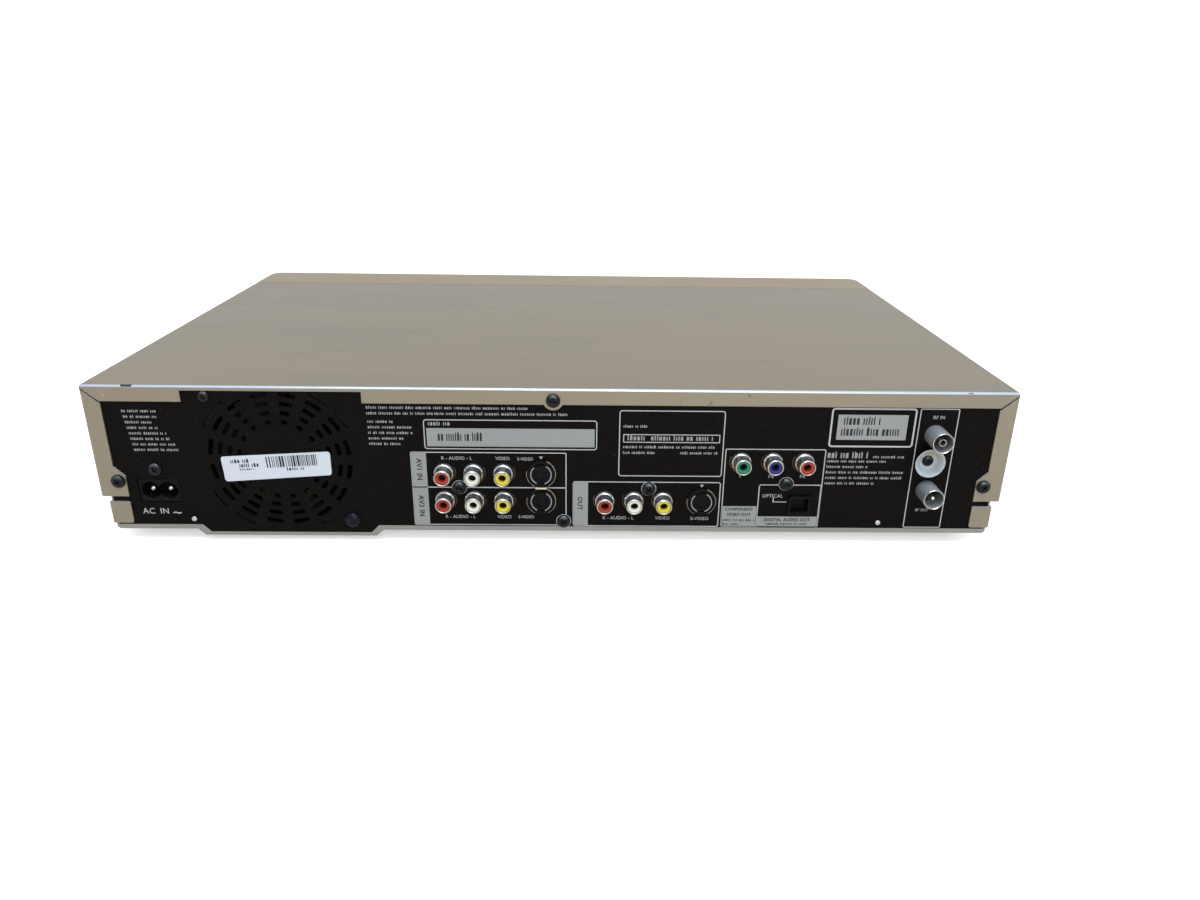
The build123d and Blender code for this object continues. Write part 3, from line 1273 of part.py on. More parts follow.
def pickup_sled():
    """The pickup: a bored body on the rods, an arm to the screw, and the lens mount."""
    y0 = DISC_Y + LENS_R0 - 8
    y1 = y0 + SLED_L
    low = DECK_Z + 0.8
    body = block(DRIVE_X - ROD_X - 3, DRIVE_X + ROD_X + 3, y0, y1, low, low + 6.5)
    arm_y = y0 + SLED_L / 2
    body += block(DRIVE_X + ROD_X, DRIVE_X + SCREW_X + 4, arm_y - 3, arm_y + 3, low, low + 6.5)
    for x in (-ROD_X, ROD_X):
        body -= rod_y(DRIVE_X + x, ROD_Z, y0 - 1, y1 + 1, ROD_R + RUN)
    body -= rod_y(DRIVE_X + SCREW_X, ROD_Z, y0 - 1, y1 + 1, SCREW_R + RUN)
    lens_y = DISC_Y + LENS_R0
    body += block(DRIVE_X - 9, DRIVE_X + 9, lens_y - 7, lens_y + 8, low + 6, low + 10.5)
    return body + rod_z(DRIVE_X, lens_y, low + 10, low + 12.2, 2.4)


def turntable():
    """The spindle's turntable, with its centring cone and shaft."""
    hub_low = DECK_Z + 6.4
    table = rod_z(DRIVE_X, DISC_Y, TABLE_Z - TABLE_T, TABLE_Z, TABLE_R)
    table += rod_z(DRIVE_X, DISC_Y, hub_low, TABLE_Z - TABLE_T + 0.1, 6.0)
    table += rod_z(DRIVE_X, DISC_Y, DECK_Z + 1, hub_low + 0.1, SPINDLE_R)
    cone = rod_z(DRIVE_X, DISC_Y, TABLE_Z - 0.1, TABLE_Z + 2.2, CONE_R)
    return table + chamfer(cone.edges().group_by(Axis.Z)[-1], 1.2)


# Hard disk

def disk_centre():
    """The platters' axis, in X and Y."""
    return (DISK_X1 - PLATTER_R - DISK_WALL - 1.5, DISK_Y0 + DISK_W / 2)


def arm_pivot():
    """The head arm's axis, in X and Y."""
    return (DISK_X1 - DISK_L + PIVOT_INSET_X, DISK_Y0 + PIVOT_INSET_Y)


def disk_body():
    """The cast body of the hard disk, open at the top under its lid."""
    x0 = DISK_X1 - DISK_L
    z0 = BRACKET_Z + BRACKET_T
    z1 = z0 + DISK_H - DISK_LID
    body = block(x0, DISK_X1, DISK_Y0, DISK_Y0 + DISK_W, z0, z1)
    body = fillet(body.edges().filter_by(Axis.Z), 2.0)
    body -= block(x0 + DISK_WALL, DISK_X1 - DISK_WALL, DISK_Y0 + DISK_WALL, DISK_Y0 + DISK_W - DISK_WALL,
                  z0 + DISK_FLOOR, z1 + 1)
    x, y = disk_centre()
    body += rod_z(x, y, z0 + DISK_FLOOR - 0.5, z0 + DISK_FLOOR + 12, 4.0)
    px, py = arm_pivot()
    body += rod_z(px, py, z0 + DISK_FLOOR - 0.5, z0 + DISK_FLOOR + 14, 3.0)
    return body


def disk_lid():
    """The disk's stamped lid."""
    x0 = DISK_X1 - DISK_L
    z1 = BRACKET_Z + BRACKET_T + DISK_H
    lid = block(x0 + 0.5, DISK_X1 - 0.5, DISK_Y0 + 0.5, DISK_Y0 + DISK_W - 0.5, z1 - DISK_LID, z1)
    return fillet(lid.edges().filter_by(Axis.Z), 2.0)


def disk_platters():
    """Two platters on their hub."""
    x, y = disk_centre()
    floor = BRACKET_Z + BRACKET_T + DISK_FLOOR
    stack = rod_z(x, y, floor + 1.5, floor + 13, PLATTER_HUB_R)
    for level in (0, 1):
        z = floor + 5 + level * (PLATTER_T + PLATTER_GAP)
        stack += rod_z(x, y, z, z + PLATTER_T, PLATTER_R)
    return stack - rod_z(x, y, floor, floor + 12.5, 4.0 + RUN)


def disk_arm():
    """The head arm between the platters, with its coil behind the pivot."""
    cx, cy = disk_centre()
    px, py = arm_pivot()
    floor = BRACKET_Z + BRACKET_T + DISK_FLOOR
    mid = floor + 5 + PLATTER_T + PLATTER_GAP / 2
    towards = math.degrees(math.atan2(cy - py, cx - px))
    reach = 0.75 * math.hypot(cx - px, cy - py)
    arm = prism_z([(0, -6), (reach, -1.6), (reach, 1.6), (0, 6)], mid - ARM_T / 2, mid + ARM_T / 2)
    arm += prism_z([(0, -5), (-COIL_L, -8), (-COIL_L, 8), (0, 5)], mid - ARM_T / 2, mid + ARM_T / 2)
    arm += rod_z(0, 0, floor + 2, floor + 13, 7.0)
    arm -= rod_z(0, 0, floor, floor + 15, 3.0 + RUN)
    return Pos(px, py, 0) * Rot(0, 0, towards - ARM_SPREAD) * arm


def disk_bracket():
    """The folded steel bracket that holds the hard disk above the floor."""
    x0 = DISK_X1 - DISK_L
    y1 = DISK_Y0 + DISK_W
    plate = block(x0, DISK_X1, DISK_Y0, y1, BRACKET_Z, BRACKET_Z + BRACKET_T)
    plate -= block(x0 + 25, DISK_X1 - 25, DISK_Y0 + 20, y1 - 20, BRACKET_Z - 1, BRACKET_Z + BRACKET_T + 1)
    for y in (DISK_Y0, y1 - BRACKET_T):
        plate += block(x0, DISK_X1, y, y + BRACKET_T, BASE_TOP, BRACKET_Z + 0.1)
    plate += block(x0, DISK_X1, y1 - 10, y1, BASE_TOP, BASE_TOP + BRACKET_T)
    plate += block(x0, DISK_X1, DISK_Y0, DISK_Y0 + 10, BASE_TOP, BASE_TOP + BRACKET_T)
    return plate


# Boards

def board(x0, x1, y0, y1):
    """A circuit board on the base's pillars."""
    z = BASE_TOP + STANDOFF_H
    return block(x0, x1, y0, y1, z, z + BOARD_T)


def main_board():
    """The main board with its two large chips and a memory row."""
    z = BASE_TOP + STANDOFF_H + BOARD_T
    pcb = board(MAIN_X0, MAIN_X1, MAIN_Y0, MAIN_Y1)
    pcb += block(MAIN_X0 + 20, MAIN_X0 + 48, MAIN_Y0 + 22, MAIN_Y0 + 50, z - 0.1, z + 2.4)
    pcb += block(MAIN_X1 - 40, MAIN_X1 - 20, MAIN_Y0 + 12, MAIN_Y0 + 32, z - 0.1, z + 1.8)
    for i in range(4):
        x = MAIN_X1 - 44 + i * 10
        pcb += block(x, x + 7, MAIN_Y1 - 26, MAIN_Y1 - 12, z - 0.1, z + 1.2)
    return pcb


def jack_board():
    """The board that carries the socket blocks, on folded feet."""
    z = PANEL_Z + 3.0
    x0 = COMPONENT_X - COMPONENT_PITCH - BLOCK_EDGE
    x1 = AV_X + PHONO_PITCH + BLOCK_EDGE
    pcb = block(x0, x1, MAIN_Y1 + 3, PANEL_IN - BLOCK_DEPTH / 2, z, z + BOARD_T)
    for x in (x0 + 3, (x0 + x1) / 2, x1 - 9):
        pcb += block(x, x + 6, MAIN_Y1 + 6, MAIN_Y1 + 12, BASE_TOP, z + 0.1)
    return pcb


def transformer():
    """The power supply's transformer: a wound bobbin through a ferrite core."""
    z = BASE_TOP + STANDOFF_H + BOARD_T
    x = (POWER_X0 + POWER_X1) / 2
    y = (POWER_Y0 + POWER_Y1) / 2
    core = block(x - CORE_W / 2, x + CORE_W / 2, y - CORE_D / 2, y + CORE_D / 2, z, z + CORE_H)
    core = chamfer(core.edges().filter_by(Axis.Z), 1.5)
    return core + block(x - COIL_W / 2, x + COIL_W / 2, y - COIL_D / 2, y + COIL_D / 2, z, z + COIL_H)


def can(x, y, r, h):
    """One electrolytic capacitor on the power board."""
    z = BASE_TOP + STANDOFF_H + BOARD_T
    body = rod_z(x, y, z, z + h, r)
    return fillet(body.edges().group_by(Axis.Z)[-1], 0.8)


def capacitors():
    """The power supply's electrolytic capacitors: a big one and a row of small ones."""
    cans = [can(POWER_X1 - BIG_CAN_R - 4, POWER_Y0 + BIG_CAN_R + 10, BIG_CAN_R, BIG_CAN_H)]
    for i in range(SMALL_CANS):
        y = POWER_Y1 - SMALL_CAN_R - 8 - i * SMALL_CAN_PITCH
        cans.append(can(POWER_X0 + SMALL_CAN_R + 10, y, SMALL_CAN_R, SMALL_CAN_H))
    return cans


def heat_sink():
    """An aluminium heat sink with upright fins."""
    z = BASE_TOP + STANDOFF_H + BOARD_T
    x0 = (POWER_X0 + POWER_X1) / 2 - SINK_W / 2
    y0 = POWER_Y0 + 2
    sink = block(x0, x0 + SINK_W, y0 + FIN_L, y0 + FIN_L + SINK_BASE, z, z + SINK_H)
    for i in range(FINS):
        x = x0 + i * (SINK_W - FIN_T) / (FINS - 1)
        sink += block(x, x + FIN_T, y0, y0 + FIN_L + 0.1, z, z + SINK_H)
    return sink


def main():
    os.makedirs("parts", exist_ok=True)
    save("chassis_base", chassis_base())
    save("side_skirts", side_skirts())
    save("rear_panel", rear_panel())
    save("top_cover", top_cover())
    save("feet", feet())
    save("case_screws", cover_screws() + panel_screws())
    save("panel_rivets", panel_rivets())
    save("screw_cup", screw_cup())
    save("ac_inlet", ac_inlet())
    save("ac_pins", ac_pins())
    save("phono_shells", phono_shells())
    for colour in ("red", "white", "yellow", "green", "blue"):
        save(f"phono_inserts_{colour}", phono_inserts(colour))
    save("jack_blocks", jack_blocks())
    save("svideo_shields", svideo_shields())
    save("optical_socket", optical_socket())
    save("optical_shutter", optical_shutter())
    save("tuner_can", tuner_can())
    save("aerial_sockets", aerial_sockets())
    save("fan_frame", fan_frame())
    save("fan_rotor", fan_rotor())
    save("front_panel", front_panel())
    save("front_tub", front_tub())
    save("front_flap", front_flap())
    save("display_window", display_window())
    save("front_boards", front_boards())
    for _, _, _, body, name in key_list():
        save(name, body)
    save("drive_frame", drive_frame())
    save("disc_tray", disc_tray())
    save("tray_fascia", tray_fascia())
    save("tray_gear", tray_gear())
    save("motor_pulley", motor_pulley())
    save("drive_belt", drive_belt())
    save("loading_motor", loading_motor())
    save("clamp_bridge", clamp_bridge())
    save("clamp_puck", clamp_puck())
    save("traverse_frame", traverse_frame())
    save("traverse_motors", traverse_motors())
    save("guide_rods", guide_rods())
    save("feed_screw", feed_screw())
    save("pickup_sled", pickup_sled())
    save("turntable", turntable())
    save("disk_body", disk_body())
    save("disk_lid", disk_lid())
    save("disk_platters", disk_platters())
    save("disk_arm", disk_arm())
    save("disk_bracket", disk_bracket())
    save("main_board", main_board())
    save("jack_board", jack_board())
    save("power_board", board(POWER_X0, POWER_X1, POWER_Y0, POWER_Y1))
    save("transformer", transformer())
    save("capacitors", capacitors())
    save("heat_sink", heat_sink())


main()
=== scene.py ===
"""Looks of a flat disc and hard disk recorder, seen from its socket side.

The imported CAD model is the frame. Its cover, panel, base and mechanism keep their shapes and get
better materials; sockets, screws, printing, the fan and the front's small parts are modelled here.
X is to the right seen from the front, Y runs from the front to the sockets and Z is up. Lengths
are written in mm and become metres where they enter Blender.
"""

import json
import math
import random

import bmesh
import bpy
from mathutils import Euler, Matrix, Vector


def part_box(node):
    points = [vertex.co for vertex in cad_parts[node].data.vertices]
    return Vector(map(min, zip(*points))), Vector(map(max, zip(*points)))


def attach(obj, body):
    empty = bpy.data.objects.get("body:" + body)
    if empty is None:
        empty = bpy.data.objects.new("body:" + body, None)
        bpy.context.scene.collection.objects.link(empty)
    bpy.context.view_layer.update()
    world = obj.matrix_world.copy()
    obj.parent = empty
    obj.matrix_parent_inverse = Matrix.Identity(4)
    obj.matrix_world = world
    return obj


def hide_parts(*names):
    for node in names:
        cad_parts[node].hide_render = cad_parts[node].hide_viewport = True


bl_info = {
    "name": "Disc and Hard Disk Recorder",
    "version": (1, 0, 0),
    "blender": (4, 5, 0),
    "location": "3D View > Sidebar > Recorder",
    "description": "Builds the finished look of a disc and hard disk recorder on its CAD frame",
    "category": "Object",
}

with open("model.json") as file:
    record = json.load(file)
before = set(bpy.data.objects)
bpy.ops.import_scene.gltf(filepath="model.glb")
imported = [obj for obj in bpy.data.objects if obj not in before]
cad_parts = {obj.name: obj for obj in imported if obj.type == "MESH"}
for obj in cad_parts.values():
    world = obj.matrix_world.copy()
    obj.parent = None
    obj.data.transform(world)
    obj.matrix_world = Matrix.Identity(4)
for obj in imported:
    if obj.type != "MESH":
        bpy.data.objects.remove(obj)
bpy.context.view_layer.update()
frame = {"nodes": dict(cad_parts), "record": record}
MM = 0.001


def mm(*lengths):
    """Lengths in mm as metres."""
    return tuple(length * MM for length in lengths)


def box(node):
    """The low and the high corner of a CAD node's box, in mm."""
    return [[place / MM for place in corner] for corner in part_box(node)]


PANEL_Y = box("rear_panel")[1][1]
PANEL_Z = 8.7  # the panel's lower edge
REAR_Y, TOP_Z = box("top_cover")[1][1:]
FRONT_Y = box("front_panel")[0][1]
FRONT_SOCKET_Y = FRONT_Y + 20.0  # the wall that the front sockets stand on
PRINT_T = 0.03  # the thickness of ink
WELD = 0.002  # points closer than this are merged
KEY_LIP = 1.5  # how far a key's lip reaches past its face
EDGE_ANGLE = 32.0  # edges sharper than this angle stay sharp
ROUND_ANGLE = 50.0  # the same on small round parts

# Rear socket places: X from the middle, Z above the panel's lower edge
PHONO_PITCH = 14.0
COMPONENT_PITCH = 15.0
FRONT_PITCH = 16.0
AV_X = 38.4
OUT_X = -37.8
COMPONENT_X = -103.05
ROW_1_Z = 28.1
ROW_2_Z = 14.1
COMPONENT_Z = 34.7
SVIDEO_PLACES = ((6.5, ROW_1_Z), (6.5, ROW_2_Z), (-70.2, ROW_2_Z))
AERIAL_X = -178.0
AERIAL_IN_Z = 49.1
AERIAL_OUT_Z = 20.8
CUP_X = -176.6
CUP_Z = 36.1
INLET_X = 187.4
INLET_Z = 17.8
PIN_X = 4.15
RINGED_SCREWS = ((45.4, 20.5), (-4.1, 2.9), (-44.8, 20.3), (-110.55, 23.3))
RING_RADIUS = 3.6
PLAIN_PANEL_SCREW = (187.4, 28.9)
FAN_SCREW = (159.4, 65.1)
RIVETS = ((173.3, 3.0), (-157.3, 3.0))
FAN_RIVET = (97.4, 3.06)

# Cover screws: X and Z, or Y and Z, from the floor, and the dimple in the cover's sides
FLANGE_SCREWS = ((0.6, 73.3), (205.4, 31.5), (-205.4, 31.5))
SIDE_SCREW = (14.0, 42.7)
SIDE_DIMPLE = 2.2

MATERIALS = {}
GROUPS = {}
UP = (0.0, 0.0, 1.0)
DOWN = (0.0, 0.0, -1.0)
BACK_AND_UP = (0.0, 0.8, 0.6)
BEND = (0.0, 0.7071, 0.7071)


# Sizes and colours

class RecorderSizes(bpy.types.PropertyGroup):
    """Small sizes that the CAD frame doesn't hold."""
    print_line: bpy.props.FloatProperty(
        name="Printed line", description="Width of the printed outlines",
        default=0.46 * MM, unit="LENGTH")
    screw_dome: bpy.props.FloatProperty(
        name="Screw dome", description="Height of a screw's head",
        default=1.8 * MM, unit="LENGTH")
    # The radius where highlights are painted on the edges of the phono sockets' holes
    hole_radius: bpy.props.FloatProperty(
        name="Socket hole",
        description="Radius of the bright edge of the hole behind a phono socket",
        default=5.5 * MM, unit="LENGTH")


class RecorderColours(bpy.types.PropertyGroup):
    """Main colours of the finish."""
    cover: bpy.props.FloatVectorProperty(
        name="Cover", description="Satin paint of the cover",
        subtype="COLOR", size=3, default=(0.182, 0.149, 0.098), min=0.0, max=1.0)
    panel: bpy.props.FloatVectorProperty(
        name="Rear panel", description="Black paint of the rear panel",
        subtype="COLOR", size=3, default=(0.0030, 0.0024, 0.0019), min=0.0, max=1.0)
    ink: bpy.props.FloatVectorProperty(
        name="Ink", description="Grey ink of the printing",
        subtype="COLOR", size=3, default=(0.292, 0.298, 0.292), min=0.0, max=1.0)
    moulding: bpy.props.FloatVectorProperty(
        name="Front moulding", description="Silver plastic of the front",
        subtype="COLOR", size=3, default=(0.262, 0.212, 0.140), min=0.0, max=1.0)


class RecorderStage(bpy.types.PropertyGroup):
    """Lights and floor."""
    top_light: bpy.props.FloatProperty(
        name="Top light", description="Power of the cool light overhead",
        default=20.0, unit="POWER")
    rear_light: bpy.props.FloatProperty(
        name="Rear light", description="Power of the light on the sockets",
        default=11.5, unit="POWER")
    side_light: bpy.props.FloatProperty(
        name="Side light", description="Power of the narrow light on one side",
        default=4.0, unit="POWER")
    backdrop: bpy.props.FloatProperty(
        name="Backdrop", description="Strength of the white behind the object", default=1.15)
    horizon: bpy.props.FloatProperty(
        name="Horizon", description="Strength of the surroundings at floor height", default=0.55)
    zenith: bpy.props.FloatProperty(
        name="Zenith", description="Strength of the surroundings overhead", default=1.0)


# Modelling

def choose(*things):
    """Selects only these objects and makes the first one active."""
    if bpy.context.object and bpy.context.object.mode != "OBJECT":
        bpy.ops.object.mode_set(mode="OBJECT")
    bpy.ops.object.select_all(action="DESELECT")
    for thing in things:
        thing.select_set(True)
    bpy.context.view_layer.objects.active = things[0] if things else None


def settle(thing):
    """Moves the object's place, turn and scale into its mesh."""
    choose(thing)
    bpy.ops.object.transform_apply(location=True, rotation=True, scale=True)
    return thing


def edit(thing, everything=False):
    """Opens one object for editing by its points, with nothing or everything selected."""
    choose(thing)
    bpy.ops.object.mode_set(mode="EDIT")
    bpy.ops.mesh.select_mode(type="VERT")
    bpy.ops.mesh.select_all(action="SELECT" if everything else "DESELECT")


def close():
    """Leaves edit mode."""
    bpy.ops.object.mode_set(mode="OBJECT")


def pick(thing, test, mode="VERT"):
    """Selects the open mesh's elements whose centre passes a test of place and normal."""
    bpy.ops.mesh.select_mode(type=mode)
    mesh = bmesh.from_edit_mesh(thing.data)
    for element in {"VERT": mesh.verts, "EDGE": mesh.edges, "FACE": mesh.faces}[mode]:
        if mode == "VERT":
            centre, normal = element.co, element.normal
        elif mode == "EDGE":
            centre, normal = (element.verts[0].co + element.verts[1].co) / 2, Vector()
        else:
            centre, normal = element.calc_center_median(), element.normal
        element.select = bool(test(centre / MM, normal))
    mesh.select_flush_mode()
    bmesh.update_edit_mesh(thing.data)


def apply_modifier(thing, kind, **settings):
    """Adds a modifier with its settings and applies it."""
    choose(thing)
    modifier = thing.modifiers.new(kind.title(), kind)
    for key, value in settings.items():
        setattr(modifier, key, value)
    bpy.ops.object.modifier_apply(modifier=modifier.name)
    return thing


def soften(thing, width, segments=2):
    """Rounds every sharp edge by a width."""
    return apply_modifier(thing, "BEVEL", width=width * MM, segments=segments,
                          limit_method="ANGLE", angle_limit=math.radians(35.0),
                          harden_normals=False)


def thicken(patch, thickness=PRINT_T, offset=1.0):
    """Gives a flat patch a thickness, outwards unless told otherwise."""
    return apply_modifier(patch, "SOLIDIFY", thickness=thickness * MM, offset=offset)


def cut(thing, *tools):
    """Takes the tools' volumes out of the object and removes the tools."""
    for tool in tools:
        apply_modifier(thing, "BOOLEAN", operation="DIFFERENCE", object=tool, solver="EXACT")
        bpy.data.objects.remove(tool)
    return thing


def shade(thing, angle=EDGE_ANGLE):
    """Smooth shading that keeps edges sharper than an angle."""
    choose(thing)
    bpy.ops.object.shade_smooth_by_angle(angle=math.radians(angle))
    return thing


def joined(things):
    """Several meshes as one object."""
    choose(*things)
    if len(things) > 1:
        bpy.ops.object.join()
    return things[0]


def copied(thing, x=0.0, y=0.0, z=0.0):
    """A copy with its own mesh, moved."""
    choose(thing)
    bpy.ops.object.duplicate(linked=False)
    twin = bpy.context.object
    twin.location = mm(x, y, z)
    return settle(twin)


def placed(thing, x=0.0, y=0.0, z=0.0, turn=0.0, axis="Y"):
    """Turns a mesh by degrees about an axis through the origin, then moves it."""
    thing.data.transform(Matrix.Rotation(math.radians(turn), 4, axis))
    thing.data.transform(Matrix.Translation(mm(x, y, z)))
    return thing


def brick(x0, x1, y0, y1, z0, z1):
    """A block between two corners, the start of a longer piece."""
    bpy.ops.mesh.primitive_cube_add(
        size=1.0, location=mm((x0 + x1) / 2, (y0 + y1) / 2, (z0 + z1) / 2))
    block = bpy.context.object
    block.scale = mm(x1 - x0, y1 - y0, z1 - z0)
    return settle(block)


def start_path(point):
    """A new open object with one selected point, given in metres."""
    bpy.ops.mesh.primitive_plane_add(size=MM)
    path = bpy.context.object
    edit(path, everything=True)
    bpy.ops.mesh.merge(type="CENTER")
    bpy.ops.transform.translate(value=point)
    return path


def extrude(step):
    """Extrudes what is selected by a step in metres."""
    bpy.ops.mesh.extrude_region_move(TRANSFORM_OT_translate={"value": step})


def weld():
    """Merges the open mesh's doubled points and leaves everything selected."""
    bpy.ops.mesh.select_all(action="SELECT")
    bpy.ops.mesh.remove_doubles(threshold=WELD * MM)


def turned(centre, profile, steps=40, angle=360.0, start=0.0):
    """A profile of (radius, along) points, spun round a line along Y through centre.

    The profile is drawn by extruding one point and is closed where it leaves the axis. A part turn
    starts below the +X side by the start angle and goes up from there.
    """
    centre = Vector(centre)
    along = Vector((0, 1, 0))
    out = Matrix.Rotation(math.radians(start), 3, along) @ Vector((1, 0, 0))
    points = [(centre + out * r + along * a) * MM for r, a in profile]
    piece = start_path(points[0])
    for before, after in zip(points, points[1:]):
        extrude(after - before)
    bpy.ops.mesh.select_all(action="SELECT")
    bpy.ops.mesh.spin(steps=steps, angle=math.radians(angle), center=centre * MM, axis=along)
    weld()
    if angle < 360.0:
        bpy.ops.mesh.select_all(action="DESELECT")
        bpy.ops.mesh.select_mode(type="EDGE")
        bpy.ops.mesh.select_non_manifold()
        bpy.ops.mesh.fill_holes(sides=0)
        bpy.ops.mesh.select_mode(type="VERT")
        bpy.ops.mesh.select_all(action="SELECT")
    bpy.ops.mesh.normals_make_consistent(inside=False)
    close()
    return piece


def wear(name, things, material, slot, *nodes, body="casing", smooth=None):
    """Joins meshes into a piece with its material on its CAD body and hides its nodes; slot is
    unused.
    """
    piece = joined(things)
    if smooth:
        shade(piece, smooth)
    piece.name = name
    piece.data.name = name
    piece.data.materials.clear()
    piece.data.materials.append(MATERIALS[material])
    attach(piece, body)
    if nodes:
        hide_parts(*nodes)


# Printing on the rear panel and on the front

def upright_patch(x0, x1, y, z0, z1, side):
    """A flat upright patch, facing the rear where side is 1 and the front where it is -1."""
    bpy.ops.mesh.primitive_plane_add(
        size=1.0, rotation=(-side * math.pi / 2, 0, 0),
        location=mm((x0 + x1) / 2, y, (z0 + z1) / 2))
    patch = bpy.context.object
    patch.scale = (*mm(abs(x1 - x0), abs(z1 - z0)), 1.0)
    return settle(patch)


def upright_disc(x, y, z, radius, side, vertices=40, turn=0.0):
    """A flat upright disc or many-sided patch, facing as a patch does."""
    bpy.ops.mesh.primitive_circle_add(
        vertices=vertices, radius=radius * MM, fill_type="NGON",
        rotation=(-side * math.pi / 2, turn, 0), location=mm(x, y, z))
    return settle(bpy.context.object)


def rear_patch(x0, x1, z0, z1, corner=0.0):
    """A flat patch on the panel's face, Z above the panel's lower edge."""
    patch = upright_patch(x0, x1, PANEL_Y, PANEL_Z + z0, PANEL_Z + z1, 1)
    if corner:
        edit(patch, everything=True)
        bpy.ops.mesh.bevel(offset=corner * MM, segments=4, affect="VERTICES")
        close()
    return patch


def rear_plate(x0, x1, z0, z1, corner=0.0):
    """A printed solid area on the panel."""
    return thicken(rear_patch(x0, x1, z0, z1, corner))


def rear_outline(x0, x1, z0, z1, corner=1.4, line=None):
    """A printed outline on the panel."""
    line = line * MM if line else bpy.context.scene.recorder_sizes.print_line
    patch = rear_patch(x0, x1, z0, z1, corner)
    edit(patch)
    bpy.ops.mesh.select_mode(type="FACE")
    bpy.ops.mesh.select_all(action="SELECT")
    bpy.ops.mesh.inset(thickness=line, depth=0.0)
    bpy.ops.mesh.delete(type="FACE")
    close()
    return thicken(patch)


def greeked_row(x, z, length, height=1.05, cell=0.38):
    """A row of small unreadable strokes in place of small print, from x towards -X."""
    tall_share, tall_rise = 0.3, 0.38
    row = rear_patch(x - length, x, z - height / 2, z + height / 2)
    dice = random.Random(round(x * 7 + z * 131 + length * 17))
    count = max(3, int(length / cell))
    middle = z + PANEL_Z
    edit(row)
    pick(row, lambda place, normal: abs(place.z - middle) > height * 0.4, "EDGE")
    bpy.ops.mesh.subdivide(number_cuts=count - 1)
    gaps, tall, column = set(), set(), 0
    while column < count:
        for _ in range(dice.randint(2, 8)):
            if dice.random() < tall_share:
                tall.add(column)
            column += dice.choice((1, 1, 2))
            gaps.add(column)
            column += 1
        gaps.update((column, column + 1))
        column += 2

    def column_of(place):
        return int((x - place.x) / length * count)

    pick(row, lambda place, normal: place.z > middle and column_of(place) in tall)
    bpy.ops.transform.translate(value=mm(0, 0, height * tall_rise))
    pick(row, lambda place, normal: column_of(place) in gaps, "FACE")
    bpy.ops.mesh.delete(type="FACE")
    close()
    return row


def greeked_rows(rows, longest=36.0):
    """Several rows of small print as one thin piece, with long rows made in stretches."""
    made = []
    for x, z, length, *size in rows:
        stretches = math.ceil(length / longest)
        made += [greeked_row(x - length * i / stretches, z, length / stretches, *size)
                 for i in range(stretches)]
    return thicken(joined(made))


def rear_word(text, x, z, height, squeeze=1.0, turn=0.0, bold=0.0):
    """A printed marking that reads from the rear, centred on a point."""
    bpy.ops.object.text_add(location=mm(x, PANEL_Y, PANEL_Z + z))
    word = bpy.context.object
    word.data.body = text
    word.data.size = height * 1.4 * MM
    word.data.align_x = "CENTER"
    word.data.align_y = "CENTER"
    word.data.offset = bold * MM
    word.data.resolution_u = 2
    word.data.space_character = 1.05
    word.rotation_euler = (Euler((math.pi / 2, 0, math.pi)).to_matrix()
                           @ Matrix.Rotation(math.radians(turn), 3, "Z")).to_euler()
    word.scale = (squeeze, 1.0, 1.0)
    choose(word)
    bpy.ops.object.convert(target="MESH")
    return thicken(settle(bpy.context.object))


# Low and high X, low and high Z, and where needed the corner's radius and the line's width
OUTLINES = (
    (-19.8, 60.8, 40.0, 54.8),
    (-79.3, -30.0, 26.8, 60.0),
    (-5.5, 67.8, 0.5, 38.6, 0.8),
    (-79.3, -8.5, 0.2, 24.0, 1.2),
    (-128.0, -80.3, 0.2, 41.3, 0.8),
    (-127.7, -97.6, 0.2, 23.0, 1.0),
    (-168.4, -128.5, 42.5, 62.0, 1.6, 0.8),
    (-188.2, -169.8, 0.4, 62.0, 0.8),
    (-77.4, -32.0, 44.0, 48.2, 0.3, 0.4),
)
DIVIDER = (-5.5, 67.8, 20.2, 20.75)
PLATES = (
    (-18.6, 59.5, 41.4, 50.5),
    (60.4, 67.5, 0.8, 38.3, 0.6),
    (-15.8, -8.8, 0.5, 23.7, 0.8),
    (-97.3, -80.5, 0.4, 11.4, 0.4),
    (-127.4, -97.9, 0.5, 6.0, 0.4),
    (-164.6, -131.8, 46.2, 58.7),
)
# The line from the optical socket to its name
LEADER = ((-105.3, -104.8, 14.0, 16.2), (-111.6, -104.8, 13.6, 14.0))
# Text, X, Z, height and squeeze
SOCKET_WORDS = (
    ("AC", 194.2, 6.9, 3.0), ("IN", 186.8, 6.9, 3.0), ("~", 180.9, 6.4, 5.2),
    ("R - AUDIO - L", 46.2, 35.4, 1.75, 0.93), ("VIDEO", 24.6, 35.4, 1.75, 0.92),
    ("S-VIDEO", 13.9, 35.2, 1.6, 0.88),
    ("R - AUDIO - L", 45.6, 4.9, 1.75, 0.93), ("VIDEO", 24.4, 4.9, 1.75, 0.92),
    ("S-VIDEO", 13.9, 4.9, 1.6, 0.88),
    ("R - AUDIO - L", -30.4, 4.7, 1.75, 0.97), ("VIDEO", -52.0, 4.7, 1.75, 0.97),
    ("S-VIDEO", -70.0, 4.6, 1.75, 0.95),
    ("OPTICAL", -104.5, 16.9, 1.8, 0.95),
    ("RF IN", -178.9, 57.6, 1.7, 0.95), ("RF OUT", -177.9, 9.9, 1.6, 0.78),
    ("Y", -88.05, 27.2, 1.8), ("PB", -103.05, 27.2, 1.8), ("PR", -118.05, 27.2, 1.8),
)
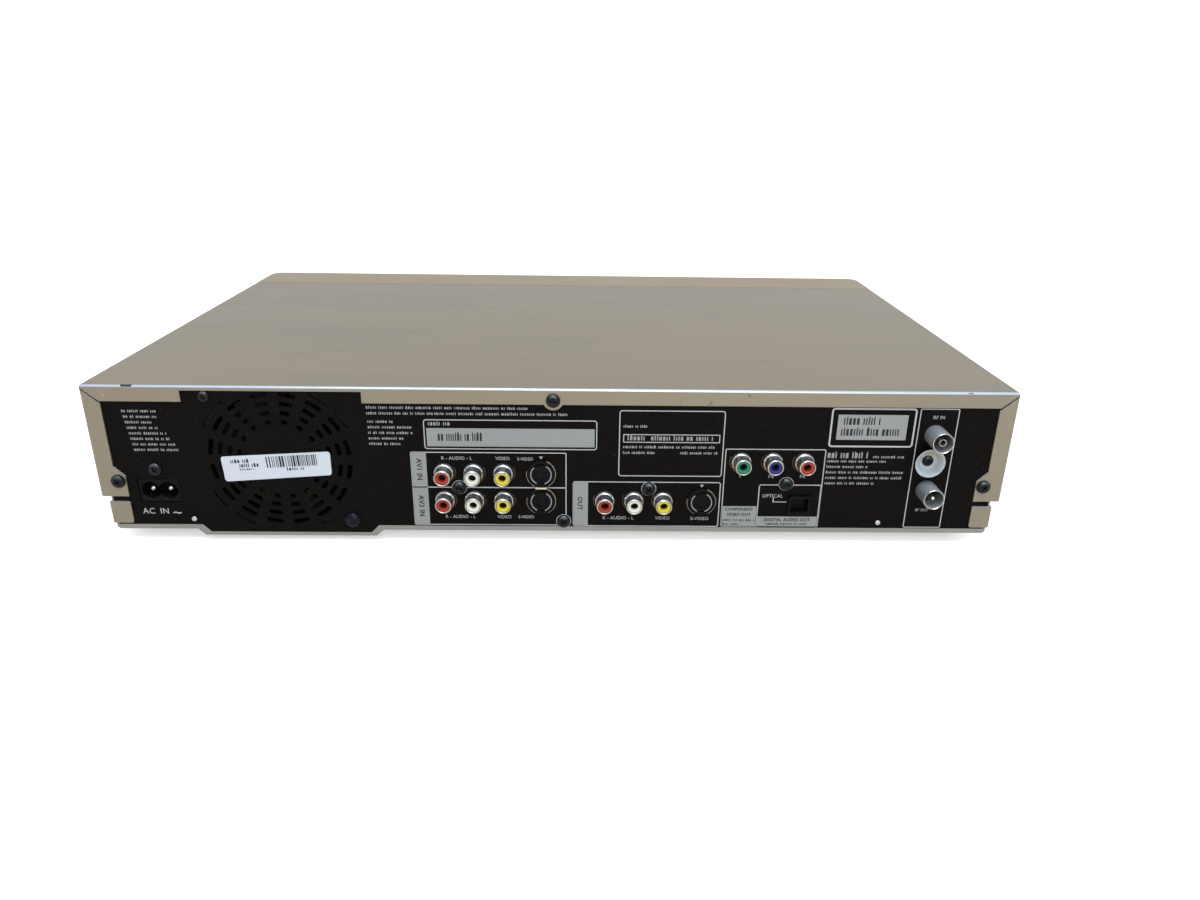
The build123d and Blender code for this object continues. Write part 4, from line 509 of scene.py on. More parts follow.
# Text, X, Z, height, squeeze, turn in degrees and how much bolder
PLATE_WORDS = (
    ("AV1 IN", 64.0, 29.6, 2.5, 1.0, -90.0, 0.07),
    ("AV3 IN", 64.0, 10.5, 2.5, 1.0, -90.0, 0.07),
    ("OUT", -11.9, 12.4, 2.3, 1.0, -90.0, 0.07),
    ("COMPONENT", -88.9, 9.7, 1.5, 1.0, 0.0, 0.06),
    ("VIDEO OUT", -88.9, 6.9, 1.5, 1.0, 0.0, 0.06),
    ("DIGITAL AUDIO OUT", -112.6, 4.2, 1.6, 1.0, 0.0, 0.06),
)


class RECORDER_OT_printing(bpy.types.Operator):
    """Prints outlines, plain plates and rings round the screws on the rear panel"""
    bl_idname = "recorder.printing"
    bl_label = "Rear printing"

    def execute(self, context):
        outlines = [rear_outline(*row) for row in OUTLINES] + [rear_plate(*DIVIDER)]
        line = context.scene.recorder_sizes.print_line / MM * 0.75
        middles = []
        for x, z in RINGED_SCREWS:
            for discs, radius, lift in ((outlines, RING_RADIUS, PRINT_T),
                                        (middles, RING_RADIUS - line, 1.6 * PRINT_T)):
                discs.append(thicken(upright_disc(x, PANEL_Y, PANEL_Z + z, radius, 1), lift))
        wear("ring_middles", middles, "black_paint", "black_paint")
        wear("panel_outlines", outlines, "ink", "silver_paint")
        wear("panel_plates", [rear_plate(*row) for row in PLATES], "plate_ink", "silver_paint")
        return {"FINISHED"}


class RECORDER_OT_small_print(bpy.types.Operator):
    """Prints rows of unreadable strokes where the panel has blocks of small print"""
    bl_idname = "recorder.small_print"
    bl_label = "Small print"

    def execute(self, context):
        left = [(198.0 - 0.35 * i, 57.6 - 2.72 * i, length)
                for i, length in enumerate((15.5, 15.0, 12.0, 14.0, 17.5, 19.0, 20.0, 21.5))]
        above = [(86.5, 60.3, 74.0), (86.5, 57.5, 93.5)]
        beside = [(86.4, 53.4 - 2.75 * i, length)
                  for i, length in enumerate((12.0, 20.0, 20.4, 16.4, 14.4))]
        rating = [(-32.0, 52.0, 11.0), (-34.0, 46.1, 8.0, 1.9, 0.55),
                  (-45.0, 46.1, 29.0, 1.9, 0.55), (-32.0, 41.7, 43.0), (-32.0, 38.8, 16.0),
                  (-59.0, 38.8, 17.5), (58.6, 52.6, 10.0, 1.6, 0.5)]
        notice = [(-128.9, 38.2, 19.0, 2.6, 0.6), (-150.6, 37.5, 14.6)]
        notice += [(-128.9, 35.2 - 2.85 * i, length)
                   for i, length in enumerate((28.0, 19.5, 38.0, 36.5, 23.5))]
        wear("small_print", [greeked_rows(left + above + beside + rating + notice)], "fine_ink",
             "silver_paint")
        on_plates = [(54.4, 45.9, 21.0, 3.4, 0.5), (-134.6, 55.4, 17.0, 3.3, 0.6),
                     (-133.8, 50.0, 29.0, 3.3, 0.6), (-81.0, 3.9, 15.6, 0.9, 0.36),
                     (-81.4, 1.7, 7.6, 0.9, 0.36), (-102.6, 1.9, 20.0, 0.9, 0.36)]
        wear("plate_print", [placed(greeked_rows(on_plates), y=PRINT_T)], "dark_ink",
             "black_paint")
        return {"FINISHED"}


class RECORDER_OT_markings(bpy.types.Operator):
    """Prints generic socket names, channel letters and numbers"""
    bl_idname = "recorder.markings"
    bl_label = "Socket markings"

    def execute(self, context):
        grey = [rear_word(*row) for row in SOCKET_WORDS] + [rear_plate(*row) for row in LEADER]
        wear("panel_markings", grey, "ink", "silver_paint")
        dark = [placed(rear_word(*row), y=1.4 * PRINT_T) for row in PLATE_WORDS]
        wear("plate_markings", dark, "dark_ink", "black_paint")
        return {"FINISHED"}


# Sockets

def phono_places():
    """Every rear phono socket: X, Z and colour."""
    audio = (("red", PHONO_PITCH), ("white", 0.0), ("yellow", -PHONO_PITCH))
    rows = ((AV_X, ROW_1_Z), (AV_X, ROW_2_Z), (OUT_X, ROW_2_Z))
    places = [(x + step, z, colour) for x, z in rows for colour, step in audio]
    component = (("green", COMPONENT_PITCH), ("blue", 0.0), ("red", -COMPONENT_PITCH))
    return places + [(COMPONENT_X + step, COMPONENT_Z, colour) for colour, step in component]


def front_phono_places():
    """The three phono sockets behind the flap: X, Z from the floor, and colour."""
    (x0, _, z0), (x1, _, z1) = box("front_flap")
    x, z = (x0 + x1) / 2, (z0 + z1) / 2
    return [(x - FRONT_PITCH, z, "yellow"), (x, z, "white"), (x + FRONT_PITCH, z, "red")]


def facing_front(source, x, z):
    """A copy of a rear socket's part, mirrored to face the front."""
    twin = copied(source)
    twin.data.transform(Matrix.Translation(mm(x, 0, 0)) @ Matrix.Scale(-1, 4, (0, 1, 0)))
    placed(twin, 0, FRONT_SOCKET_Y + PANEL_Y, z - PANEL_Z)
    edit(twin, everything=True)
    bpy.ops.mesh.normals_make_consistent(inside=False)
    close()
    return twin


def phono_parts(hole):
    """One phono socket's shell, insert, contact painted dark as shade, and painted edge glints."""
    base = (0.0, PANEL_Y, PANEL_Z)
    shell = turned(base, [
        (3.62, 6.6), (3.62, -0.9), (4.87, -0.9), (4.87, 0.9), (4.8, 1.35), (4.62, 1.75),
        (4.36, 2.0), (4.12, 2.12), (4.05, 2.3), (4.05, 6.9), (4.0, 7.35), (3.86, 7.7),
        (3.64, 7.92), (3.42, 7.97), (3.25, 7.85), (3.16, 7.5), (3.2, 7.0), (3.62, 6.6),
    ], steps=36)
    insert = turned(base, [
        (3.6, 0.5), (3.6, 6.5), (3.12, 6.85), (3.12, 7.2), (2.96, 7.36), (2.3, 7.4),
        (1.97, 7.3), (1.77, 7.0), (1.7, 6.6), (1.7, 2.0), (0.0, 2.0), (0.0, 0.5), (3.6, 0.5),
    ], steps=36)
    # The contact is made black as painted shade, for the dark of the socket's bore
    contact = turned(base, [
        (1.67, 2.05), (1.67, 5.6), (1.55, 5.75), (1.5, 5.6), (1.5, 2.3), (0.0, 2.3),
        (0.0, 2.05), (1.67, 2.05),
    ], steps=20)
    # Bright arcs on the hole's bare edge, drawn only where it would catch the light: painted
    # highlights
    left_glint, right_glint = (turned(base, [
        (hole - 0.2, 0.0), (hole, 0.0), (hole, 0.1), (hole - 0.1, 0.17), (hole - 0.2, 0.1),
        (hole - 0.2, 0.0),
    ], 20, 105.0, start) for start in (-150.0, 75.0))
    return [shade(part) for part in (shell, insert, contact, left_glint, right_glint)]


class RECORDER_OT_phonos(bpy.types.Operator):
    """Turns the plated shells, coloured inserts and contacts of all phono sockets"""
    bl_idname = "recorder.phonos"
    bl_label = "Phono sockets"

    def execute(self, context):
        sources = phono_parts(context.scene.recorder_sizes.hole_radius / MM)
        shell, insert, contact, left_glint, right_glint = sources
        shells, edges, contact_shades, inserts = [], [], [], {}
        for x, z, colour in phono_places():
            shells.append(copied(shell, x, 0, z))
            # Each socket gets only the arc on the side that catches the light, as a painted
            # highlight
            edges.append(copied(left_glint if x > 0 else right_glint, x, 0, z))
            contact_shades.append(copied(contact, x, 0, z))
            inserts.setdefault(colour, []).append(copied(insert, x, 0, z))
        for x, z, colour in front_phono_places():
            shells.append(facing_front(shell, x, z))
            contact_shades.append(facing_front(contact, x, z))
            inserts[colour].append(facing_front(insert, x, z))
        for source in sources:
            bpy.data.objects.remove(source)
        wear("phono_shells_turned", shells, "nickel", "nickel", "phono_shells")
        wear("phono_hole_glints", edges, "hole_edge_glint", "nickel")
        wear("phono_contact_shades", contact_shades, "hole_black", "black_plastic")
        for colour, group in inserts.items():
            wear(f"phono_plugs_{colour}", group, f"{colour}_insert", f"{colour}_insert",
                 f"phono_inserts_{colour}")
        return {"FINISHED"}


# An S-video socket's ring is made in arcs with a start and a sweep. Its rim is a highlight painted
# on the arcs of the boss's edge that catch the light, each with a width too, and its contact holes
# are given from its middle.
RING_ARCS = ((64.0, 112.0), (-119.0, 130.0))
RIM_GLINT_ARCS = ((-112.0, 30.0, 0.2), (-142.0, 100.0, 0.42), (62.0, 75.0, 0.22))
CONTACT_HOLES = ((-2.25, 1.2), (2.25, 1.2), (-2.25, -1.25), (2.25, -1.25))


def svideo_ring(x, y, z):
    """The two plated arcs round an S-video socket's face."""
    return [turned((x, y, z), [
        (4.62, 0.6), (5.05, 0.6), (5.05, 2.2), (4.96, 2.38), (4.72, 2.38), (4.62, 2.2),
        (4.62, 0.6),
    ], 24, angle, start) for start, angle in RING_ARCS]


def svideo_rim(x, y, z):
    """A highlight painted on the edge round an S-video socket's boss, in arcs of different widths.
    """
    return [turned((x, y, z), [
        (7.0 - width, 1.0), (7.0, 1.0), (7.0, 1.5), (6.95, 1.68), (7.0 - width, 1.6),
        (7.0 - width, 1.0),
    ], 20, angle, start) for start, angle, width in RIM_GLINT_ARCS]


def svideo_boss(x, y, z):
    """The black boss of an S-video socket, with a notch at its top."""
    boss = turned((x, y, z), [
        (5.1, 1.0), (6.82, 1.0), (6.82, 1.3), (6.55, 1.4), (6.5, 1.75), (6.2, 2.0),
        (5.25, 2.0), (5.1, 1.9), (5.1, 1.0),
    ], steps=48)
    return cut(boss, brick(x - 1.7, x + 1.7, y + 1.3, y + 4, z + 4.4, z + 6.0))


def svideo_face(x, y, z):
    """The black face of an S-video socket, with four contact holes and a slot."""
    face = turned((x, y, z), [
        (0.0, 1.4), (4.56, 1.4), (4.56, 1.95), (4.4, 2.1), (0.0, 2.1), (0.0, 1.4),
    ])
    for dx, dz in CONTACT_HOLES:
        bpy.ops.mesh.primitive_cylinder_add(
            vertices=16, radius=0.62 * MM, depth=2 * MM, rotation=(math.pi / 2, 0, 0),
            location=mm(x + dx, y + 2.7, z + dz))
        cut(face, settle(bpy.context.object))
    return cut(face, brick(x - 1.35, x + 1.35, y + 1.6, y + 4, z - 2.9, z - 2.1))


def svideo_mark(x, z):
    """A printed triangle that points down at an S-video socket."""
    mark = rear_patch(x - 0.95, x + 0.95, z + 7.1, z + 8.45)
    edit(mark)
    pick(mark, lambda place, normal: place.z < PANEL_Z + z + 7.6)
    bpy.ops.transform.resize(value=(0.04, 1.0, 1.0), center_override=mm(x, PANEL_Y, 0))
    close()
    return thicken(mark)


class RECORDER_OT_svideo(bpy.types.Operator):
    """Makes the S-video sockets: a split plated ring round a black face with four holes"""
    bl_idname = "recorder.svideo"
    bl_label = "S-video sockets"

    def execute(self, context):
        rings, rims, faces, marks = [], [], [], []
        for x, z in SVIDEO_PLACES:
            centre = (x, PANEL_Y, PANEL_Z + z)
            rings += svideo_ring(*centre)
            rims += svideo_rim(*centre)
            faces += [svideo_boss(*centre), svideo_face(*centre)]
            if (x, z) != SVIDEO_PLACES[1]:  # the lower input has no triangle
                marks.append(svideo_mark(x, z))
        tab_z = (ROW_1_Z + ROW_2_Z) / 2 + PANEL_Z
        tab = brick(3.9, 9.3, PANEL_Y, PANEL_Y + 2.1, tab_z - 0.6, tab_z + 0.3)
        rims.append(soften(tab, 0.25))
        wear("svideo_rings", rings, "rivet_metal", "nickel", "svideo_shields", smooth=EDGE_ANGLE)
        # The rim arcs are highlights painted on the edges round the bosses; the tab shares their
        # colour
        wear("svideo_rim_glints", rims, "pale_brass_and_glint", "nickel", smooth=EDGE_ANGLE)
        wear("svideo_faces", faces, "black_plastic", "black_plastic", smooth=EDGE_ANGLE)
        wear("svideo_marks", marks, "ink", "silver_paint")
        return {"FINISHED"}


class RECORDER_OT_aerials(bpy.types.Operator):
    """Turns the two aerial sockets, one with a split sleeve and one with a pin"""
    bl_idname = "recorder.aerials"
    bl_label = "Aerial sockets"

    def execute(self, context):
        y = PANEL_Y
        shells, floors, rims = [], [], []
        upper, lower = ((AERIAL_X, y, PANEL_Z + z) for z in (AERIAL_IN_Z, AERIAL_OUT_Z))
        for centre in (upper, lower):
            shells.append(turned(centre, [
                (4.35, 0.6), (4.35, -0.9), (4.42, -0.9), (4.42, 0.3), (4.9, 0.35), (4.9, 11.3),
                (4.4, 11.3), (4.4, 1.4), (4.35, 0.6),
            ], steps=48))
            rims.append(turned(centre, [
                (4.5, 11.25), (4.9, 11.25), (4.9, 11.5), (4.85, 11.68), (4.72, 11.76),
                (4.58, 11.68), (4.5, 11.5), (4.5, 11.25),
            ], steps=48))
            floors.append(turned(centre, [
                (0.0, 1.0), (4.38, 1.0), (4.38, 2.6), (2.6, 2.8), (2.4, 3.6), (0.0, 3.6),
                (0.0, 1.0),
            ]))
        sleeve = turned(upper, [
            (1.25, 3.4), (1.85, 3.4), (1.85, 10.4), (1.7, 10.7), (1.4, 10.7), (1.25, 10.4),
            (1.25, 3.4),
        ], steps=32)
        for turn in (20.0, 110.0):
            slot = brick(-0.17, 0.17, y + 5.5, y + 12, -3.0, 3.0)
            cut(sleeve, placed(slot, AERIAL_X, 0, PANEL_Z + AERIAL_IN_Z, turn))
        pin = turned(lower, [
            (0.0, 3.4), (1.15, 3.4), (1.15, 9.6), (0.95, 10.2), (0.5, 10.6), (0.0, 10.7),
        ], steps=24)
        wear("aerial_shells", shells, "dull_nickel", "nickel", "aerial_sockets",
             smooth=EDGE_ANGLE)
        wear("aerial_rims", rims, "bright_nickel", "nickel", smooth=EDGE_ANGLE)
        wear("aerial_floors", floors, "hole_black", "black_plastic", smooth=EDGE_ANGLE)
        wear("aerial_centres", [sleeve, pin], "nickel", "nickel", smooth=EDGE_ANGLE)
        return {"FINISHED"}


class RECORDER_OT_inlet(bpy.types.Operator):
    """Shapes the two-pin mains inlet with a rounded figure-of-eight mouth"""
    bl_idname = "recorder.inlet"
    bl_label = "Mains inlet"

    def execute(self, context):
        y, z = PANEL_Y, PANEL_Z + INLET_Z
        sides = (INLET_X - PIN_X, INLET_X + PIN_X)
        body = soften(brick(INLET_X - 9.6, INLET_X + 9.6, y - 19.9, y, z - 6.1, z + 6.1), 0.8, 3)
        lobes = [turned((x, y, z), [
            (0.0, -10.0), (4.25, -10.0), (4.25, -0.5), (4.7, 0.01), (4.7, 2.0), (0.0, 2.0),
            (0.0, -10.0),
        ], steps=48) for x in sides]
        cut(body, *lobes, brick(*sides, y - 10.0, y + 2.0, z - 2.64, z + 2.64))
        wear("inlet_body", [body], "black_plastic", "black_plastic", "ac_inlet",
             smooth=EDGE_ANGLE)
        pins = [turned((x, y, z), [
            (0.0, -10.2), (1.2, -10.2), (1.2, -3.0), (1.05, -2.4), (0.6, -2.05), (0.0, -2.0),
        ], steps=24) for x in sides]
        wear("inlet_pins", pins, "nickel", "nickel", "ac_pins", smooth=EDGE_ANGLE)
        return {"FINISHED"}


# Fasteners

def cross_head(radius, height):
    """A domed screw head on the Y axis at the origin, with a cross recess."""
    head = turned((0, 0, 0), [
        (0.0, -1.0), (1.4, -1.0), (1.4, 0.0), (radius, 0.0), (radius, height * 0.28),
        (radius * 0.94, height * 0.55), (radius * 0.8, height * 0.78),
        (radius * 0.55, height * 0.93), (0.0, height), (0.0, -1.0),
    ], steps=32)
    slots = []
    for turn in (0.0, 90.0):
        slot = brick(-radius * 0.58, radius * 0.58, height * 0.35, height + 0.5,
                     -radius * 0.15, radius * 0.15)
        edit(slot)
        pick(slot, lambda place, normal: place.y < height * 0.5)
        bpy.ops.transform.resize(value=(0.45, 1.0, 0.5), center_override=(0, 0, 0))
        close()
        slots.append(placed(slot, turn=turn))
    return shade(cut(head, *slots), 28.0)


class RECORDER_OT_screws(bpy.types.Operator):
    """Cuts cross-head screws and sets them at the rear and in the cover's sides"""
    bl_idname = "recorder.screws"
    bl_label = "Case screws"

    def execute(self, context):
        dome = context.scene.recorder_sizes.screw_dome / MM
        normal, small = cross_head(3.3, dome), cross_head(2.7, dome * 0.9)
        heads = [(normal, x, PANEL_Y, PANEL_Z + z) for x, z in (PLAIN_PANEL_SCREW, *RINGED_SCREWS)]
        heads.append((small, FAN_SCREW[0], PANEL_Y, PANEL_Z + FAN_SCREW[1]))
        heads += [(normal, x, REAR_Y, z) for x, z in FLANGE_SCREWS]
        heads.append((small, CUP_X, PANEL_Y + 0.3, PANEL_Z + CUP_Z))
        screws = [placed(copied(source), x, y, z, 37.0 * i % 90.0)
                  for i, (source, x, y, z) in enumerate(heads, 1)]
        side = box("top_cover")[1][0] - SIDE_DIMPLE
        screws += [placed(copied(normal), sign * side, *SIDE_SCREW, -90.0 * sign, "Z")
                   for sign in (-1, 1)]
        for source in (normal, small):
            bpy.data.objects.remove(source)
        wear("case_screw_heads", screws, "black_screw", "black_screw", "case_screws")
        return {"FINISHED"}


class RECORDER_OT_cup(bpy.types.Operator):
    """Turns the white funnel round the screw between the aerial sockets"""
    bl_idname = "recorder.cup"
    bl_label = "Screw cup"

    def execute(self, context):
        cup = turned((CUP_X, PANEL_Y, PANEL_Z + CUP_Z), [
            (1.6, 0.0), (4.4, 0.0), (4.6, 0.5), (5.5, 2.4), (6.8, 3.7), (7.05, 4.0), (7.1, 4.2),
            (6.95, 4.3), (6.6, 4.2), (5.7, 3.2), (4.8, 1.8), (4.2, 0.95), (3.5, 0.6),
            (1.6, 0.55), (1.6, 0.0),
        ], steps=56)
        wear("cup_funnel", [cup], "white_plastic", "white_plastic", "screw_cup",
             smooth=ROUND_ANGLE)
        return {"FINISHED"}


class RECORDER_OT_rivets(bpy.types.Operator):
    """Turns the two pale rivets and the fan's dark plastic rivet"""
    bl_idname = "recorder.rivets"
    bl_label = "Rivets"

    def execute(self, context):
        rivets = [turned((x, PANEL_Y, PANEL_Z + z), [
            (0.0, -0.5), (0.8, -0.5), (0.8, 0.0), (1.3, 0.0), (1.25, 0.35), (0.9, 0.62),
            (0.4, 0.7), (0.0, 0.7), (0.0, -0.5),
        ], steps=24) for x, z in RIVETS]
        wear("panel_rivet_heads", rivets, "rivet_metal", "rivet_metal", "panel_rivets",
             smooth=ROUND_ANGLE)
        dome = turned((FAN_RIVET[0], PANEL_Y, PANEL_Z + FAN_RIVET[1]), [
            (0.0, -0.5), (1.0, -0.5), (1.0, 0.0), (4.0, 0.0), (3.95, 0.5), (3.6, 1.25),
            (2.9, 1.9), (1.8, 2.3), (0.9, 2.4), (0.0, 2.4), (0.0, -0.5),
        ])
        wear("fan_rivet_head", [dome], "blue_black_plastic", "black_plastic", smooth=ROUND_ANGLE)
        return {"FINISHED"}


# The white label: its thickness, its corners by their side, and its print's middle and slant
LABEL_T = 0.1
LABEL_CORNERS = {(True, True): (156.3, 35.4), (False, True): (105.1, 38.4),
                 (False, False): (105.2, 26.4), (True, False): (155.5, 22.7)}
LABEL_X = 130.6
LABEL_Z = 30.8
LABEL_TURN = 3.6


class RECORDER_OT_sticker(bpy.types.Operator):
    """Sticks the plain white label over the fan grille"""
    bl_idname = "recorder.sticker"
    bl_label = "White label"

    def execute(self, context):
        label = upright_patch(-1.0, 1.0, 0.0, -1.0, 1.0, 1)
        for vertex in label.data.vertices:
            x, z = LABEL_CORNERS[vertex.co.x > 0, vertex.co.z > 0]
            vertex.co = mm(x, PANEL_Y + 0.02, PANEL_Z + z)
        edit(label, everything=True)
        bpy.ops.mesh.bevel(offset=1.4 * MM, segments=5, affect="VERTICES")
        bpy.ops.mesh.normals_make_consistent(inside=False)
        close()
        wear("white_label", [thicken(label, LABEL_T)], "label_paper", "white_plastic")
        bars, x = [], 4.6
        dice = random.Random(5)
        while x > -19.4:
            width = dice.choice((0.35, 0.35, 0.6, 0.9))
            bars.append(rear_patch(x - width, x, -0.6, 5.0))
            x -= width + dice.choice((0.35, 0.5, 0.75))
        bars += [greeked_row(*row) for row in (
            (21.2, 3.3, 9.8, 1.6, 0.45), (17.4, 1.0, 9.0, 1.6, 0.45), (17.4, -0.9, 6.6, 0.7, 0.3),
            (-4.5, -1.9, 8.0, 1.2, 0.5))]
        printing = placed(thicken(joined(bars), 0.02), z=-PANEL_Z)
        placed(printing, 0, 0, 0, LABEL_TURN)
        placed(printing, LABEL_X, LABEL_T + 0.02, PANEL_Z + LABEL_Z)
        wear("label_print", [printing], "dark_ink", "black_paint")
        return {"FINISHED"}


# Front

def front_patch(x0, x1, z0, z1):
    """A thin mark on the front's face, Z from the floor."""
    return thicken(upright_patch(x0, x1, FRONT_Y, z0, z1, -1))


def front_disc(x, z, radius, vertices=28, turn=0.0):
    """A thin round or many-sided mark on the front's face."""
    return thicken(upright_disc(x, FRONT_Y, z, radius, -1, vertices, turn))


def key_middle(key):
    """A key's middle, X and Z, and half the height of its face."""
    (x0, _, z0), (x1, _, z1) = box(f"button_{key}")
    return (x0 + x1) / 2, (z0 + z1) / 2, (z1 - z0) / 2 - KEY_LIP


def dished_block(x0, x1, y0, y1, z0, z1, border, dish):
    """A block whose front face has a border and is sunk inside it."""
    block = brick(x0, x1, y0, y1, z0, z1)
    edit(block)
    pick(block, lambda place, normal: normal.y < -0.9, "FACE")
    bpy.ops.mesh.inset(thickness=border * MM, depth=0.0)
    if dish:
        bpy.ops.transform.translate(value=mm(0, dish, 0))
    close()
    return block


class RECORDER_OT_keys(bpy.types.Operator):
    """Turns the dished keys and shapes the open key, each on its own body"""
    bl_idname = "recorder.keys"
    bl_label = "Front keys"

    def execute(self, context):
        for key in ("power", "stop", "play", "record"):
            (x0, _, _), (x1, deep, _) = box(f"button_{key}")
            x, z, _ = key_middle(key)
            r = (x1 - x0) / 2 - KEY_LIP
            deep -= FRONT_Y
            cap = turned((x, FRONT_Y, z), [
                (0.0, -0.52), (r * 0.5, -0.58), (r * 0.8, -0.78), (r - 0.75, -0.95),
                (r - 0.45, -1.0), (r - 0.18, -0.93), (r - 0.02, -0.7), (r, -0.45),
                (r, deep - 1.2), (r + 1.5, deep - 1.2), (r + 1.5, deep), (0.0, deep),
                (0.0, -0.52),
            ], steps=48)
            wear(f"cap_{key}", [cap], "key_plastic", "silver_plastic", f"button_{key}",
                 body=f"key_{key}", smooth=40.0)
        (x0, y0, z0), (x1, y1, z1) = box("button_open")
        cap = dished_block(x0 + KEY_LIP, x1 - KEY_LIP, y0, y1, z0 + KEY_LIP, z1 - KEY_LIP,
                           border=0.9, dish=0.35)
        wear("cap_open", [soften(cap, 0.35, 3)], "key_plastic", "silver_plastic", "button_open",
             body="key_open", smooth=EDGE_ANGLE)
        return {"FINISHED"}


class RECORDER_OT_front_marks(bpy.types.Operator):
    """Prints the keys' generic symbols and sets the ring and the small lamp by the power key"""
    bl_idname = "recorder.front_marks"
    bl_label = "Front markings"

    def execute(self, context):
        x, z, r = key_middle("stop")
        above = z + r + 3.6
        marks = [front_patch(x - 1.1, x + 1.1, above - 1.1, above + 1.1)]
        marks.append(front_disc(key_middle("play")[0] - 0.2, above, 1.5, 3, math.pi / 2))
        marks.append(front_disc(key_middle("record")[0], above, 1.25))
        x, z, r = key_middle("open")
        marks.append(front_disc(x + 11.6, z + 0.45, 1.35, 3))
        marks.append(front_patch(x + 10.4, x + 12.8, z - 1.35, z - 0.85))
        x, z, r = key_middle("power")
        marks.append(front_patch(x - 0.18, x + 0.18, z + r + 3.2, z + r + 5.3))
        marks.append(turned((x, FRONT_Y, z + r + 3.7), [
            (1.35, 0.0), (1.35, -0.03), (1.68, -0.03), (1.68, 0.0), (1.35, 0.0),
        ], 28, 290.0, 125.0))
        wear("front_symbols", marks, "dark_ink", "black_paint")
        ring = turned((x, FRONT_Y, z), [
            (r + 0.35, 0.3), (r + 0.35, -0.25), (r + 0.55, -0.5), (r + 1.0, -0.55),
            (r + 1.35, -0.35), (r + 1.45, 0.0), (r + 1.45, 0.3), (r + 0.35, 0.3),
        ], steps=64)
        wear("power_bezel", [ring], "bright_nickel", "nickel", smooth=ROUND_ANGLE)
        lamp = turned((x + r + 6.0, FRONT_Y, z + 4.0), [
            (0.0, 0.4), (1.0, 0.4), (1.0, 0.0), (0.9, -0.3), (0.55, -0.5), (0.0, -0.56),
            (0.0, 0.4),
        ], steps=24)
        wear("standby_lamp", [lamp], "lamp_red", "smoked_window", smooth=60.0)
        return {"FINISHED"}


def digit_bars(x, z, width=6.0, height=9.0, line=0.8):
    """The seven bars of one digit, as thin marks."""
    gap = line * 0.35
    half = height / 2
    flat = [(x + line, x + width - line, z + step - line / 2, z + step + line / 2)
            for step in (-half, 0.0, half)]
    tall = [(side - line / 2, side + line / 2,
             low + line / 2 + gap, low + half - line / 2 - gap)
            for side in (x + line / 2, x + width - line / 2) for low in (z - half, z)]
    return [front_patch(*bar) for bar in flat + tall]


class RECORDER_OT_display(bpy.types.Operator):
    """Bevels the smoked window and lays the unlit digits and bars behind its face"""
    bl_idname = "recorder.display"
    bl_label = "Display"

    def execute(self, context):
        (x0, y0, z0), (x1, y1, z1) = box("display_window")
        glass = dished_block(x0, x1, y0, y1, z0, z1, border=0.5, dish=0.0)
        wear("display_glass", [soften(glass, 0.2)], "smoked_window", "smoked_window",
             "display_window", smooth=EDGE_ANGLE)
        z = (z0 + z1) / 2
        first, digit, pair_gap, bar = x0 + 30.0, 9.0, 2.5, 4.1
        marks = []
        for i in range(6):
            marks += digit_bars(first + digit * i + pair_gap * (i // 2), z - 0.6)
        for x in (first + 17.6, first + 17.6 + 2 * digit + pair_gap):
            marks += [front_patch(x, x + 0.9, z + side, z + side + 0.9) for side in (-3.0, 1.4)]
        for i in range(14):
            marks.append(front_patch(first + bar * i, first + bar * i + 3.2, z + 6.3, z + 7.1))
        for i, corners in enumerate((3, 20, 3)):
            marks.append(front_disc(x0 + 20.0, z + 4.6 - 4.6 * i, 1.2, corners))
        wear("display_segments", [placed(joined(marks), y=y0 - FRONT_Y)], "ghost_segments",
             "smoked_window")
        return {"FINISHED"}


class RECORDER_OT_trims(bpy.types.Operator):
    """Adds the bright strip of the tray's fascia and the flap's finger ridges"""
    bl_idname = "recorder.trims"
    bl_label = "Front trims"

    def execute(self, context):
        (x0, y, z), (x1, _, _) = box("tray_fascia")
        strip = soften(brick(x0 + 0.8, x1 - 0.8, y - 0.25, y + 0.6, z + 0.7, z + 2.1), 0.2)
        wear("tray_strip", [strip], "bright_nickel", "nickel", body="tray", smooth=EDGE_ANGLE)
        (x0, y, _), (x1, _, top) = box("front_flap")
        x = (x0 + x1) / 2
        ridges = [soften(brick(x - 11.0, x + 11.0, y - 0.35, y + 0.5, z - 2.4, z - 1.8), 0.2)
                  for z in (top, top - 1.3, top - 2.6)]
        wear("flap_ridges", ridges, "key_plastic", "silver_plastic", body="flap",
             smooth=EDGE_ANGLE)
        return {"FINISHED"}


# Fan

def fan_blade(centre, turn, y0, y1):
    """One curved blade at a turn in radians, drawn out from the hub and swept with a twist."""
    sweeps, twist = 6, 7.0
    out = Matrix.Rotation(turn, 3, "Y") @ Vector((1, 0, 0))
    blade = start_path((centre + out * 14.0 + Vector((0, y1 - 1.0, 0))) * MM)
    for reach, lean in ((6.0, -0.1), (6.0, -0.25), (5.6, -0.45)):
        extrude((out * reach + Vector((0, lean, 0))) * MM)
    bpy.ops.mesh.select_all(action="SELECT")
    for _ in range(sweeps):
        extrude(mm(0, -(y1 - y0 - 2.2) / sweeps, 0))
        bpy.ops.transform.rotate(value=math.radians(twist), orient_axis="Y",
                                 center_override=centre * MM)
    weld()
    close()
    return thicken(blade, 0.9, offset=0.0)


